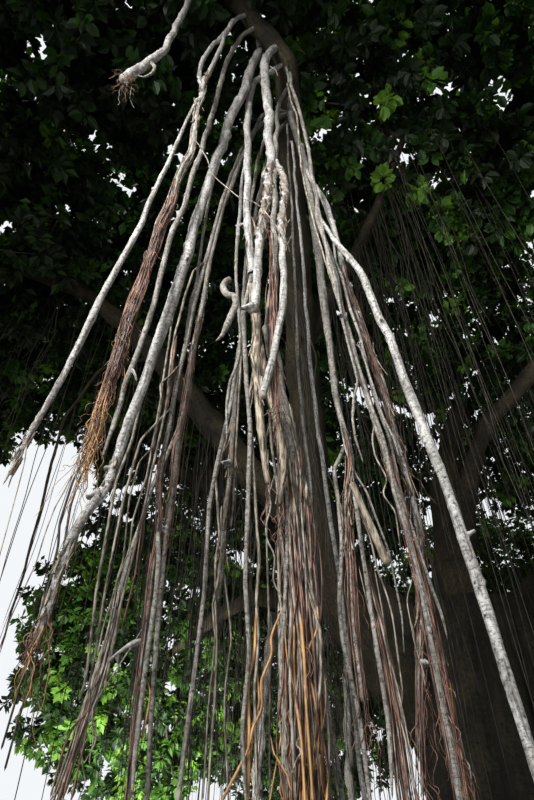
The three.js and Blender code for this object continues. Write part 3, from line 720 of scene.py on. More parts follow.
# Each kind of limb has its own seeds, of its courses and of its relief
BOUGH_SEEDS = (100, 150)
BOUGH_NAMES = [n for n in NODES if n.startswith(("bough", "limb"))]
bough_faces = 0
for seed, name in enumerate(BOUGH_NAMES):
    start = sunk_start(COURSES[name][0], BOUGH_SUNK)
    fine, at = finer(start, BOUGH_STEP, BOUGH_SEEDS[0] + seed, BOUGH_KINK)
    rng = np.random.default_rng(BOUGH_SEEDS[1] + seed)
    around, along = columns_and_rows(at, BOUGH_SIDES)
    raised = ripples(rng, around, along, BOUGH_WAVES)
    raised = raised + swellings(rng, around, along, **BOUGH_KNOTS)
    shape, layers = bark_shape()
    worn = np.full(len(at), BOUGH_WEAR)
    roll_up(shape, layers, fine, at, raised, BOUGH_SIDES, "taper", worn, seed * 9.1)
    piece = finish_piece(name + "_bark", shape, BOUGH_BARK, [name])
    bough_faces += len(piece.data.polygons)
print("boughs:", len(BOUGH_NAMES), "with", bough_faces, "faces")

# %% [markdown]
# ## Free roots
# Free roots keep nearly one width for metres. They are jointed rather than rippled: every hand's
# length a ring swells a little, and here and there a side root broke off and left a knot. Some
# end cut or broken. Where a root was bruised it healed into burls with clefts, and its cork is
# worn. Each of these is a row in a table of heights, so it can be moved without new code.

# %% Where roots are worn, bruised, swollen or cut
CUT_OFF = {"root_thick", "root_peeled", "root_second_peeled", "root_broken", "root_broad",
           "root_cut_left", "root_centre", "root_low_left"}
HOLLOW = {"root_hollow"}
# Heights between which a root's cork is worn, and how much, from 0 to about 0.4
WORN = {"root_centre": (4.5, 5.9, 0.30), "root_hollow": (4.6, 5.2, 0.16),
        "root_rough": (2.2, 5.2, 0.24), "root_twins_left": (4.8, 6.2, 0.20),
        "root_far_left": (2.8, 3.6, 0.28), "root_strands": (2.2, 3.6, 0.20),
        "root_broken": (2.6, 4.2, 0.30), "root_thick": (2.3, 2.9, 0.10),
        "root_broad": (2.2, 3.4, 0.26), "root_cut_left": (6.0, 6.5, 0.20),
        "root_knotty_left": (2.0, 3.2, 0.20), "root_low_left": (2.0, 3.0, 0.22)}
WORN_EVERYWHERE = 0.04
# Heights between which a root was bruised and healed into burls with clefts, and how deep
BURLS = {"root_centre": (4.60, 5.75, 0.30), "root_twins_left": (5.9, 7.3, 0.20),
         "root_far_left": (2.8, 3.3, 0.25), "root_rough": (2.2, 4.4, 0.16),
         "root_thick": (2.3, 3.2, 0.14)}
# The sawn root swells towards its end, below this height, to this many times its width
SWOLLEN_BELOW = {"root_cut_left": (6.9, 1.5)}
SWOLLEN_EASE = 0.6
# The root that turns into a sheaf of rootlets stops inside it, and the curled one at its hook
STOPS = {"root_bundle": 3.05, "root_curled": 4.95}
# A bark's joints stand out from it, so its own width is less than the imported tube's
USUAL_SLIM = 0.76
SLIM = {"root_thick": 0.72, "root_cut_left": 0.66, "root_far_left": 0.64, "root_twins_left": 0.66,
        "root_hollow": 0.94, "root_broad": 0.86, "root_centre": 0.84}
# Roots that are older than their neighbours, and greyer
AGED = {"root_grey_left", "root_low_left", "root_knotty_left", "root_strands", "root_broad",
        "root_pair_left", "root_slim_left", "root_bundle", "root_long_smooth", "root_broken"}
ROOT_NAMES = [n for n in NODES if n.startswith(("root", "pillar"))]
print("roots:", len(ROOT_NAMES), "of which cut or broken:", len(CUT_OFF | HOLLOW))

# %% [markdown]
# Every root starts inside what it grows from, or a gap would show: a root that springs from a
# bough bends to the bough's middle, and the strand of a fork starts some way up inside its
# parent. Two strands may also meet again, as touching roots do when their bark grows together.

# %% How a root leaves its carrier
# How far a root's bark goes up past its packed top, into or behind what carries it
USUAL_RISE = 0.2
RISES = {"root_peeled": 0.5, "root_second_peeled": 0.4}
SHORT_RISE = 0.1
# A fork's strand starts this far above the fork, inside its parent
FORK_RISE = 0.35
# The first strand of this root grows back into the second at this height
REJOINS = {"root_twins_left": 6.72}
# This root runs straight up into the bough's flank from this height, this much further
STRAIGHT_FROM = {"root_thick": 7.9}
STRAIGHT_RISE = 1.25
# The boughs' courses in close rows, for roots to start from
BOUGH_ROWS = np.concatenate([finer(COURSES[n][0], 0.05, 0, 0.0)[0] for n in BOUGH_NAMES])


def root_course(name, turn):
    """One strand of a packed root made ready for its bark, and its mean half width."""
    pillar = name.startswith("pillar")
    course = COURSES[name][turn]
    course = course[course[:, 2] > STOPS.get(name, 0)].copy()
    course[:, 3] *= 1.0 if pillar else SLIM.get(name, USUAL_SLIM)
    if name in SWOLLEN_BELOW:
        height, times = SWOLLEN_BELOW[name]
        course[:, 3] *= 1 + (times - 1) * np.clip((height - course[:, 2]) / SWOLLEN_EASE, 0, 1)
    if turn:
        parent = COURSES[name][0]
        above = parent[parent[:, 2] > course[0, 2] + FORK_RISE][-1]
        course = np.vstack([np.append(above[:3], course[1, 3]), course[1:]])
    elif name in REJOINS:
        other = COURSES[name][1]
        meet = other[other[:, 2] < REJOINS[name]][0]
        course = np.vstack([course, np.append(meet[:3], course[-1, 3])])
    if name in STRAIGHT_FROM:
        course = course[course[:, 2] < STRAIGHT_FROM[name]]
        way = course[0, :3] - course[6, :3]
        top = course[0, :3] + way / way[2] * STRAIGHT_RISE
        course = np.vstack([np.append(top, course[0, 3]), course])
    thick = float(course[:, 3].mean())
    if pillar or turn:
        return sunk_start(course, SHORT_RISE), thick
    return sunk_start(course, RISES.get(name, USUAL_RISE), BOUGH_ROWS), thick


print("rows of the boughs to start from:", len(BOUGH_ROWS))

# %% Relief of a root
ROOT_WAVES = [(1, 0.9, 0.03), (2, 0.42, 0.035), (3, 0.25, 0.03), (5, 0.11, 0.02), (7, 0.05, 0.012)]
BURL_WAVES = [(2, 0.16, 0.5), (3, 0.075, 0.7), (5, 0.11, 0.4)]
SPLIT_WAVES = [(5, 0.9, 0.07), (9, 0.5, 0.06)]
GOUGE_WAVES = [(2, 0.3, 0.5), (4, 0.13, 0.5), (3, 0.07, 0.4)]
GOUGE_DEPTH = 0.5
BURL_EASE = 0.15
WEAR_EASE = 0.25
# Joints swell all round, knots on one side and in length with the root's width
ROOT_JOINTS = {"gap": 0.17, "size": 0.12, "length": 0.008, "one_sided": False}
ROOT_KNOTS = {"gap": 0.75, "size": 0.55, "one_sided": True}
KNOT_LENGTH = 0.8
# The relief is lowered by this, so that its swellings don't make the root wider
SUNK_RELIEF = 0.02


def between(table, name, heights, ease):
    """A table's value between its two heights of a root, eased in and out, and 0 elsewhere."""
    low, high, most = table.get(name, (0.0, 0.0, 0.0))
    return most * (np.clip((heights - low) / ease, 0, 1) * np.clip((high - heights) / ease, 0, 1))


def root_relief(name, heights, at, sides, thick, rng):
    """A root's relief in rows and columns, and how worn each of its rows is."""
    around, along = columns_and_rows(at, sides)
    raised = (ripples(rng, around, along, ROOT_WAVES) - SUNK_RELIEF
              + swellings(rng, around, along, **ROOT_JOINTS)
              + swellings(rng, around, along, length=thick * KNOT_LENGTH, **ROOT_KNOTS))
    burls = between(BURLS, name, heights, BURL_EASE)[:, None]
    raised = raised + burls * ripples(rng, around, along, BURL_WAVES)
    if "peeled" in name:
        raised = raised + ripples(rng, around, along, SPLIT_WAVES)
    worn = WORN_EVERYWHERE + between(WORN, name, heights, WEAR_EASE)
    gouges = np.clip(ripples(rng, around, along, GOUGE_WAVES), 0, 1)
    return raised - GOUGE_DEPTH * worn[:, None] * gouges, worn


print("waves on a root, and more where it has a burl:", len(ROOT_WAVES), len(BURL_WAVES))

# %% [markdown]
# Three barks tell the roots apart: most are pale, old ones and pillars are greyer, and the lone
# roots under other boughs, which hang in deep shade, take a bough's bark, painted dark as shade.
# A peeled root is bare wood. The far end of a cut root shows its wood too.

# %% Bark of all free roots and pillars
ROOT_STEP = 0.022
# Kinks sideways: this much, and this much more for each metre of half width
ROOT_KINK, KINK_BY_GIRTH = 0.003, 0.16
ROOT_SEEDS = (300, 500)
# Seeds of one root's strands are one apart, those of the next root this far on
SEEDS_PER_ROOT = 7
THIN_ROOT = 0.03
WORN_END = 0.32
# The courses as drawn, for everything that grows on the roots
DRAWN = {}
root_faces = 0
for seed, name in enumerate(ROOT_NAMES):
    shape, layers = bark_shape()
    peeled, pillar = "peeled" in name, name.startswith("pillar")
    for turn in range(len(COURSES[name])):
        start, thick = root_course(name, turn)
        own = seed * SEEDS_PER_ROOT + turn
        fine, at = finer(start, ROOT_STEP, ROOT_SEEDS[0] + own, ROOT_KINK + KINK_BY_GIRTH * thick)
        if pillar:
            fine[:, 2] = np.maximum(fine[:, 2], 0.0)
        DRAWN.setdefault(name, []).append(fine)
        rng = np.random.default_rng(ROOT_SEEDS[1] + own)
        sides = 14 if thick < THIN_ROOT else 20
        raised, worn = root_relief(name, fine[:, 2], at, sides, thick, rng)
        end = "blunt" if pillar or name in CUT_OFF else "hollow" if name in HOLLOW else "taper"
        if end == "blunt":
            worn[-3:] = WORN_END
        roll_up(shape, layers, fine, at, raised, sides, end, worn, seed * 5.3 + turn)
    if pillar:
        for corner in shape.verts:
            corner.co.z = max(corner.co.z, 0.0)
    bark = BARE_WOOD if peeled else AGED_BARK if name in AGED or pillar else ROOT_BARK
    # Lone roots hang in deep shade, which is painted by giving them the dark bough bark
    if "lone" in name:
        bark = BOUGH_BARK
    piece = finish_piece(name + "_bark", shape, bark, [name])
    root_faces += len(piece.data.polygons)
print("free roots and pillars:", len(ROOT_NAMES), "with", root_faces, "faces")

# %% [markdown]
# ## Stubs and knots
# Where a side root was cut or torn off, a stub stays: a collar of healed bark round a short dead
# end. Each is a small rolled tube that starts inside its root, swells to a collar and ends blunt
# with the dry wood showing.

# %% Stubs
# root, height, direction sideways and towards the camera, length, half width, droop
STUBS = [
    ("root_thick", 3.06, (-0.9, -0.5), 0.022, 0.019, 0.4),
    ("root_thick", 2.93, (-1.0, -0.4), 0.035, 0.019, 0.9),
    ("root_thick", 4.60, (0.5, -0.8), 0.035, 0.020, 0.0),
    ("root_grey_left", 3.53, (0.95, -0.3), 0.035, 0.007, 2.6),
    ("root_knotty_left", 2.98, (-0.6, -0.7), 0.03, 0.014, 0.2),
    ("root_slim_left", 2.44, (-1.0, -0.2), 0.11, 0.0085, 0.8),
    ("root_centre", 5.50, (-0.8, -0.5), 0.02, 0.026, 0.2),
    ("root_centre", 4.00, (-0.9, -0.4), 0.05, 0.022, 0.6),
    ("root_centre", 5.16, (0.6, -0.7), 0.03, 0.024, 0.4),
    ("root_smooth_right", 2.68, (0.9, -0.5), 0.030, 0.010, -0.4),
    ("root_smooth_right", 2.29, (0.3, -0.9), 0.006, 0.014, 0.2),
    ("root_smooth_right", 3.90, (-0.3, -0.9), 0.025, 0.013, 0.0),
    ("root_broad", 5.90, (0.2, -1.0), 0.03, 0.020, 0.1),
    ("root_rough", 2.30, (0.8, -0.5), 0.04, 0.011, 0.4),
    ("root_strands", 4.05, (-0.5, -0.8), 0.06, 0.014, 0.5),
    ("root_broken", 3.40, (-0.5, -0.8), 0.06, 0.016, 0.6),
    ("root_twins_left", 6.35, (-0.4, -0.9), 0.02, 0.015, 0.2),
    ("root_curled", 5.40, (0.8, -0.5), 0.05, 0.012, 0.3),
]
STUB_SIDES = 14
STUB_ROWS = 16
STUB_WAVES = [(3, 0.06, 0.07), (5, 0.03, 0.05), (2, 0.1, 0.06)]
# How much wider the collar is, and how far along the stub it lies and how long it is, as shares
COLLAR, COLLAR_AT, COLLAR_LENGTH = 0.55, 0.30, 0.18
# How much thinner the stub is at its end, and how much more worn in its last part
STUB_TAPER = 0.45
STUB_WEAR, STUB_END_WEAR, STUB_END = 0.06, 0.26, 0.8
STUB_SEED = 900
# The strand of a forked root that goes on below the fork
MAIN_STRAND = {"root_twins_left": 1}


def at_height(name, height, strand=None):
    """The point of a course at a height, with its half width."""
    course = DRAWN[name][MAIN_STRAND.get(name, 0) if strand is None else strand]
    order = np.argsort(course[:, 2])
    found = [np.interp(height, course[order, 2], course[order, i]) for i in (0, 1, 3)]
    return np.array([found[0], found[1], height]), found[2]


shape, layers = bark_shape()
for seed, (name, height, side, length, half, droop) in enumerate(STUBS):
    heart, thick = at_height(name, height)
    out = unit(np.array([*side, 0.0]))
    share = np.linspace(0, 1, STUB_ROWS)
    spots = heart + out * ((length + thick) * share - thick * 0.1)[:, None]
    spots[:, 2] -= droop * length * share ** 1.7
    collar = 1 + COLLAR * np.exp(-((share - COLLAR_AT) / COLLAR_LENGTH) ** 2)
    fine = np.column_stack([spots, half * collar * (1 - STUB_TAPER * share)])
    at = share * length
    around, along = columns_and_rows(at, STUB_SIDES)
    raised = ripples(np.random.default_rng(STUB_SEED + seed), around, along, STUB_WAVES)
    worn = STUB_WEAR + STUB_END_WEAR * (share > STUB_END)
    roll_up(shape, layers, fine, at, raised, STUB_SIDES, "blunt", worn, seed * 3.1)
finish_piece("root_stubs", shape, ROOT_BARK, [])
print("stubs:", len(STUBS))

# %% [markdown]
# ## Thin things by the hundred
# Rootlets and twigs are far too many for one bmesh operator call each, so they are made as
# arrays: every strand is a three to six sided tube worked out with numpy, drawn to a point at
# both ends, and a whole bunch becomes one mesh.


# %% Joined meshes from arrays
def mesh_of(name, corners, faces, tints=None):
    """A mesh from arrays: corners N by 3, and faces M by 3 or 4."""
    mesh = bpy.data.meshes.new(name)
    sides = faces.shape[1]
    mesh.vertices.add(len(corners))
    mesh.vertices.foreach_set("co", corners.astype(np.float32).ravel())
    mesh.loops.add(faces.size)
    mesh.loops.foreach_set("vertex_index", faces.astype(np.int32).ravel())
    mesh.polygons.add(len(faces))
    mesh.polygons.foreach_set("loop_start", np.arange(0, faces.size, sides, dtype=np.int32))
    if tints is not None:
        mesh.polygons.foreach_set("material_index", tints.astype(np.int32))
    mesh.update(calc_edges=True)
    mesh.polygons.foreach_set("use_smooth", np.full(len(faces), tints is None))
    mesh.update()
    return mesh


def thread(spots, half, sides):
    """Corners and quads of a thin tube along a course."""
    first, second = frames_along(spots)
    around = np.arange(sides) * TAU / sides
    out = (np.cos(around)[None, :, None] * first[:, None, :]
           + np.sin(around)[None, :, None] * second[:, None, :])
    corners = (spots[:, None, :] + half[:, None, None] * out).reshape(-1, 3)
    rows = np.arange(len(spots) - 1)[:, None] * sides
    here, after = np.arange(sides)[None, :], (np.arange(sides)[None, :] + 1) % sides
    quads = np.stack([rows + here, rows + after, rows + sides + after, rows + sides + here], axis=2)
    return corners, quads.reshape(-1, 4)


def threads_piece(name, courses, sides, material):
    """Many thin tubes as one piece."""
    corners, faces, count = [], [], 0
    for spots, half in courses:
        half = half.copy()
        half[0] = half[-1] = 0
        some, quads = thread(spots, half, sides)
        corners.append(some)
        faces.append(quads + count)
        count += len(some)
    mesh = mesh_of(name, np.concatenate(corners), np.concatenate(faces))
    print(name, len(courses), "strands,", 2 * len(mesh.polygons), "triangles")
    return as_piece(name, mesh, [material], [])


# %% Strands that hang free or hug a root
# No thin root hangs lower than this above the ground
LOWEST = 1.05
# Sways of a hanging strand: waves in its length, and share of the sway
SWAYS = ((1.3, 1.0), (2.4, 0.5), (3.9, 0.22))
HUG_STEP = 0.035
HUG_KINK = 0.003
# The course is taken this much further at both ends; a shorter one than three points has no strand
HUG_OVER = 0.1


def hanging(rng, start, length, half, lean, sway, steps, taper=0.6):
    """A strand that leaves its start and falls, swaying a little, thinner to its tip."""
    length = min(length, start[2] - LOWEST)
    share = np.linspace(0, 1, steps)
    spots = np.repeat(np.array(start, float)[None, :], steps, axis=0)
    spots[:, 2] -= share * length
    for i in (0, 1):
        spots[:, i] += lean[i] * share
        for waves, size in SWAYS:
            phase = rng.uniform(0, TAU)
            wave = np.sin(share * waves * TAU + phase) - math.sin(phase)
            spots[:, i] += sway * size * wave * np.minimum(1, 3 * share)
    return spots, half * (1 - taper * share)


def beside(rng, course, upper, lower, spread, half, turns):
    """A strand that runs down a course between two heights and winds slowly round its bark."""
    course = course[(course[:, 2] < upper + HUG_OVER) & (course[:, 2] > lower - HUG_OVER)]
    if len(course) < 3:
        return None
    fine, at = finer(course, HUG_STEP, int(rng.integers(1e6)), HUG_KINK + 0.2 * spread)
    first, second = frames_along(fine[:, :3])
    turn = rng.uniform(0, TAU) + np.linspace(0, rng.uniform(-turns, turns), len(fine))
    swell = fine[:, 3] + spread * (1 + 0.3 * np.sin(at * rng.uniform(4, 9) + rng.uniform(0, TAU)))
    side = np.cos(turn)[:, None] * first + np.sin(turn)[:, None] * second
    return fine[:, :3] + side * swell[:, None], half * np.linspace(1.1, 0.7, len(fine))


print("thin roots end", LOWEST, "m or more above the ground")

# %% [markdown]
# ## Second roots
# Between the old roots hang younger ones, a thumb thick, and rootlets beside them. Their places
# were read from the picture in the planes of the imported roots. Each row gives its bark, its half
# width at the top and at the foot, its depth (Y) at both, and its bends as X and Z in metres.

# %% Where second roots hang
# The first row is the loop under the sawn root, and the last one is a dead stick
SECOND_ROOTS = [
    (AGED_BARK, 0.0151, 0.0090, -6.20, -6.22, [(-3.43, 6.40), (-3.42, 6.29), (-3.43, 6.18),
        (-3.47, 6.10), (-3.52, 6.14)]),
    (GREY_ROOTLET, 0.0078, 0.0046, -5.76, -5.80, [(-2.58, 7.96), (-2.52, 7.80), (-2.50, 7.53)]),
    (GREY_ROOTLET, 0.0051, 0.0033, -5.95, -5.85, [(-3.05, 5.57), (-2.94, 5.19), (-2.76, 4.93),
        (-2.68, 4.90), (-2.62, 4.83), (-2.52, 4.59), (-2.49, 4.48)]),
    (AGED_BARK, 0.0181, 0.0061, -5.60, -5.70, [(-2.40, 8.52), (-2.37, 7.93), (-2.30, 7.05),
        (-2.28, 6.55), (-2.26, 5.36), (-2.24, 4.79), (-2.21, 4.36), (-2.21, 4.01), (-2.18, 3.53),
        (-2.21, 3.43), (-2.23, 3.29), (-2.23, 3.17), (-2.21, 3.04)]),
    (GREY_ROOTLET, 0.0128, 0.0064, -5.62, -5.60, [(-2.40, 7.89), (-2.34, 7.07), (-2.33, 6.62),
        (-2.34, 6.28), (-2.32, 5.69), (-2.28, 5.09), (-2.20, 4.37), (-2.18, 3.99)]),
    (AGED_BARK, 0.0117, 0.0064, -5.62, -5.72, [(-2.24, 5.02), (-2.19, 4.43), (-2.18, 3.97),
        (-2.11, 3.12), (-2.11, 2.90), (-2.07, 2.34)]),
    (AGED_BARK, 0.0104, 0.0065, -5.60, -5.66, [(-2.18, 4.69), (-2.12, 3.97), (-2.10, 3.47),
        (-2.07, 3.22), (-2.07, 2.90), (-2.01, 2.41), (-2.01, 2.33)]),
    (AGED_BARK, 0.0079, 0.0053, -5.60, -5.70, [(-2.18, 3.98), (-2.17, 3.88), (-2.14, 3.90),
        (-2.12, 3.84), (-2.11, 3.58), (-2.06, 3.17), (-2.06, 3.07)]),
    (GREY_ROOTLET, 0.0047, 0.0028, -5.66, -5.74, [(-2.15, 3.20), (-2.16, 3.08), (-2.13, 2.96),
        (-2.16, 2.88), (-2.12, 2.79), (-2.13, 2.63)]),
    (AGED_BARK, 0.0062, 0.0040, -5.46, -5.40, [(-2.24, 3.44), (-2.23, 3.30), (-2.20, 3.18),
        (-2.16, 3.09), (-2.10, 2.80), (-2.09, 2.52), (-2.10, 2.39)]),
    (AGED_BARK, 0.0114, 0.0089, -5.44, -5.42, [(-2.29, 3.21), (-2.29, 2.85), (-2.32, 2.58),
        (-2.32, 2.43), (-2.29, 2.19), (-2.28, 1.84)]),
    (AGED_BARK, 0.0111, 0.0098, -5.46, -5.46, [(-2.22, 3.14), (-2.20, 2.34), (-2.20, 2.15),
        (-2.22, 1.93)]),
    (GREY_ROOTLET, 0.0046, 0.0040, -5.40, -5.42, [(-2.16, 2.87), (-2.13, 2.60), (-2.13, 2.26),
        (-2.15, 2.18)]),
    (GREY_ROOTLET, 0.0029, 0.0019, -5.55, -5.60, [(-2.09, 2.53), (-2.10, 2.36), (-2.09, 2.23)]),
    (AGED_BARK, 0.0152, 0.0080, -5.58, -5.52, [(-2.73, 4.16), (-2.68, 3.34), (-2.68, 2.60),
        (-2.66, 2.35), (-2.68, 2.10), (-2.66, 1.89)]),
    (GREY_ROOTLET, 0.0096, 0.0059, -5.56, -5.50, [(-2.68, 3.54), (-2.63, 2.70), (-2.64, 2.54),
        (-2.63, 2.39), (-2.64, 2.23), (-2.63, 1.92)]),
    (OCHRE_ROOTLET, 0.0062, 0.0065, -5.52, -5.50, [(-2.64, 2.52), (-2.64, 2.35), (-2.66, 2.26),
        (-2.65, 2.13), (-2.66, 1.90)]),
    (OCHRE_ROOTLET, 0.0043, 0.0041, -5.54, -5.52, [(-2.54, 2.51), (-2.59, 2.39), (-2.58, 2.34),
        (-2.62, 2.25), (-2.61, 2.17), (-2.65, 2.10), (-2.65, 2.06), (-2.74, 1.90)]),
    (OCHRE_ROOTLET, 0.0042, 0.0037, -5.50, -5.50, [(-2.65, 2.34), (-2.68, 2.23), (-2.66, 2.15),
        (-2.67, 2.04), (-2.66, 1.98)]),
    (OCHRE_ROOTLET, 0.0038, 0.0033, -5.50, -5.50, [(-2.64, 2.36), (-2.62, 2.18), (-2.64, 2.15),
        (-2.66, 1.93)]),
    (GREY_ROOTLET, 0.0057, 0.0040, -5.42, -5.42, [(-2.60, 3.06), (-2.59, 1.91)]),
    (GREY_ROOTLET, 0.0044, 0.0036, -5.66, -5.56, [(-2.59, 2.92), (-2.58, 2.86), (-2.60, 2.79),
        (-2.60, 2.73), (-2.57, 2.68), (-2.58, 2.58), (-2.54, 2.52)]),
    (AGED_BARK, 0.0091, 0.0072, -5.60, -5.54, [(-2.52, 3.37), (-2.52, 2.67), (-2.55, 2.24),
        (-2.54, 1.90)]),
    (AGED_BARK, 0.0104, 0.0074, -5.56, -5.52, [(-2.51, 3.29), (-2.49, 2.91), (-2.53, 2.07),
        (-2.52, 1.92)]),
    (AGED_BARK, 0.0091, 0.0059, -5.54, -5.52, [(-2.49, 3.30), (-2.47, 3.10), (-2.49, 1.90)]),
    (GREY_ROOTLET, 0.0070, 0.0053, -5.50, -5.50, [(-2.46, 2.90), (-2.46, 2.40), (-2.44, 1.91)]),
    (AGED_BARK, 0.0085, 0.0057, -5.46, -5.46, [(-2.42, 3.37), (-2.41, 3.14), (-2.42, 2.21),
        (-2.38, 1.91)]),
    (AGED_BARK, 0.0073, 0.0060, -5.48, -5.48, [(-2.41, 3.01), (-2.45, 2.75), (-2.46, 2.60),
        (-2.42, 2.37)]),
    (OCHRE_ROOTLET, 0.0053, 0.0044, -5.56, -5.54, [(-2.54, 2.47), (-2.55, 2.11), (-2.52, 1.91)]),
    (OCHRE_ROOTLET, 0.0054, 0.0035, -5.56, -5.56, [(-2.42, 2.50), (-2.42, 2.42), (-2.49, 2.29),
        (-2.46, 2.24), (-2.44, 2.12), (-2.47, 1.98), (-2.46, 1.91)]),
    (OCHRE_ROOTLET, 0.0044, 0.0038, -5.54, -5.54, [(-2.44, 2.29), (-2.43, 2.14), (-2.45, 1.90)]),
    (OCHRE_ROOTLET, 0.0036, 0.0036, -5.58, -5.56, [(-2.50, 2.00), (-2.45, 1.98), (-2.44, 2.03)]),
    (OCHRE_ROOTLET, 0.0037, 0.0035, -5.56, -5.56, [(-2.59, 2.08), (-2.58, 2.03), (-2.54, 1.97),
        (-2.53, 1.93)]),
    (AGED_BARK, 0.0225, 0.0180, -5.75, -5.75, [(-2.79, 4.28), (-2.82, 4.27), (-2.84, 4.21),
        (-2.81, 4.12), (-2.77, 4.13), (-2.76, 4.05), (-2.82, 3.79), (-2.85, 3.75)]),
    (AGED_BARK, 0.0136, 0.0080, -5.50, -5.46, [(-2.80, 5.15), (-2.79, 4.66), (-2.75, 4.18),
        (-2.75, 3.99), (-2.76, 3.88), (-2.79, 3.76), (-2.80, 3.62), (-2.79, 3.37)]),
    (GREY_ROOTLET, 0.0098, 0.0070, -5.26, -5.20, [(-2.75, 4.36), (-2.76, 3.18), (-2.77, 3.06)]),
    (GREY_ROOTLET, 0.0081, 0.0051, -5.24, -5.20, [(-2.79, 3.71), (-2.86, 3.31), (-2.82, 3.00),
        (-2.83, 2.87), (-2.80, 2.52), (-2.80, 1.96)]),
    (GREY_ROOTLET, 0.0056, 0.0041, -5.22, -5.18, [(-2.78, 2.76), (-2.74, 2.52), (-2.76, 2.34),
        (-2.76, 2.23), (-2.73, 1.97)]),
    (GREY_ROOTLET, 0.0051, 0.0038, -5.22, -5.18, [(-2.81, 2.73), (-2.83, 2.68), (-2.81, 2.53),
        (-2.82, 1.98)]),
    (AGED_BARK, 0.0145, 0.0092, -5.60, -5.50, [(-3.00, 6.36), (-3.03, 5.12), (-3.03, 4.59),
        (-3.05, 4.40), (-3.05, 4.02)]),
    (GREY_ROOTLET, 0.0084, 0.0046, -5.50, -5.40, [(-3.11, 4.85), (-3.15, 4.28), (-3.14, 3.64),
        (-3.15, 3.19), (-3.18, 2.95), (-3.17, 2.83), (-3.20, 2.63), (-3.20, 2.54)]),
    (GREY_ROOTLET, 0.0096, 0.0052, -5.48, -5.40, [(-3.07, 4.79), (-3.10, 4.50), (-3.12, 4.02),
        (-3.11, 3.63), (-3.12, 3.27), (-3.16, 2.67), (-3.17, 2.27)]),
    (RUST_ROOTLET, 0.0113, 0.0060, -5.46, -5.44, [(-3.11, 4.16), (-3.10, 3.60)]),
    (GREY_ROOTLET, 0.0066, 0.0036, -5.50, -5.46, [(-3.14, 3.72), (-3.12, 3.60), (-3.12, 3.31),
        (-3.18, 3.22), (-3.20, 3.02), (-3.17, 2.73), (-3.20, 2.47), (-3.20, 2.37)]),
    (RUST_ROOTLET, 0.0071, 0.0039, -5.36, -5.30, [(-3.14, 3.27), (-3.16, 2.99), (-3.15, 2.74),
        (-3.17, 2.52)]),
    (GREY_ROOTLET, 0.0093, 0.0062, -5.50, -5.40, [(-3.22, 3.34), (-3.26, 3.12), (-3.26, 2.62),
        (-3.24, 2.29), (-3.25, 2.23)]),
    (GREY_ROOTLET, 0.0080, 0.0052, -5.48, -5.38, [(-3.19, 3.35), (-3.22, 3.03), (-3.23, 2.63),
        (-3.23, 2.28), (-3.21, 2.21)]),
    # These two hang in shade and take the darker copy, as painted shade
    (SHADE_ROOTLET, 0.0089, 0.0053, -5.30, -5.20, [(-3.46, 3.65), (-3.54, 3.28), (-3.55, 3.04),
        (-3.53, 2.93), (-3.53, 2.59), (-3.55, 2.13)]),
    (SHADE_ROOTLET, 0.0087, 0.0052, -5.32, -5.22, [(-3.43, 3.58), (-3.50, 3.26), (-3.51, 3.12),
        (-3.49, 2.86), (-3.51, 2.06)]),
    (GREY_ROOTLET, 0.0033, 0.0026, -5.90, -5.86, [(-3.48, 2.88), (-3.47, 2.51)]),
    (GREY_ROOTLET, 0.0034, 0.0023, -5.80, -5.74, [(-3.34, 2.90), (-3.37, 2.77), (-3.38, 2.55),
        (-3.42, 2.36), (-3.43, 2.24)]),
    (AGED_BARK, 0.0032, 0.0020, -5.98, -5.96, [(-3.26, 2.86), (-3.25, 2.75), (-3.20, 2.66)]),
    (RUST_ROOTLET, 0.0059, 0.0046, -5.42, -5.42, [(-3.21, 2.26), (-3.20, 2.19), (-3.24, 2.15),
        (-3.26, 2.09), (-3.27, 1.94)]),
    (RUST_ROOTLET, 0.0051, 0.0040, -5.42, -5.42, [(-3.21, 2.23), (-3.24, 1.92)]),
    (RUST_ROOTLET, 0.0052, 0.0040, -5.40, -5.40, [(-3.21, 2.21), (-3.20, 2.10), (-3.21, 1.93)]),
    (GREY_ROOTLET, 0.0027, 0.0022, -5.44, -5.44, [(-3.19, 2.19), (-3.15, 2.10), (-3.18, 2.03)]),
    (GREY_ROOTLET, 0.0027, 0.0022, -5.44, -5.44, [(-3.19, 2.19), (-3.16, 2.08), (-3.17, 2.05),
        (-3.16, 2.02)]),
    (AGED_BARK, 0.0119, 0.0099, -5.46, -5.44, [(-3.03, 2.74), (-3.02, 2.01), (-3.01, 1.92)]),
    (OCHRE_ROOTLET, 0.0035, 0.0033, -5.44, -5.42, [(-3.03, 2.31), (-3.00, 2.25), (-3.01, 2.10)]),
    (BARE_WOOD, 0.0160, 0.0190, -5.60, -5.60, [(-2.25, 3.02), (-2.15, 2.63)]),
]
print("second roots:", len(SECOND_ROOTS), "with", sum(len(row[5]) for row in SECOND_ROOTS), "bends")

# %% [markdown]
# A side root springs from an older one, so the top of each grey second root is looked for in the
# old roots: the nearest place above it that a straight, steep start can reach. The thicker ones
# get the same rolled bark as the old roots, and the rest are thin tubes that grow in from a point.

# %% Starting second roots in old ones
OLD_ROWS = np.concatenate([fine for strands in DRAWN.values() for fine in strands])
# How far above its top a side root may spring, how far aside for each metre, and its first drop
SPRING_LOW, SPRING_HIGH = 0.1, 0.9
SPRING_SLOPE = 0.45
FIRST_DROP = 0.03


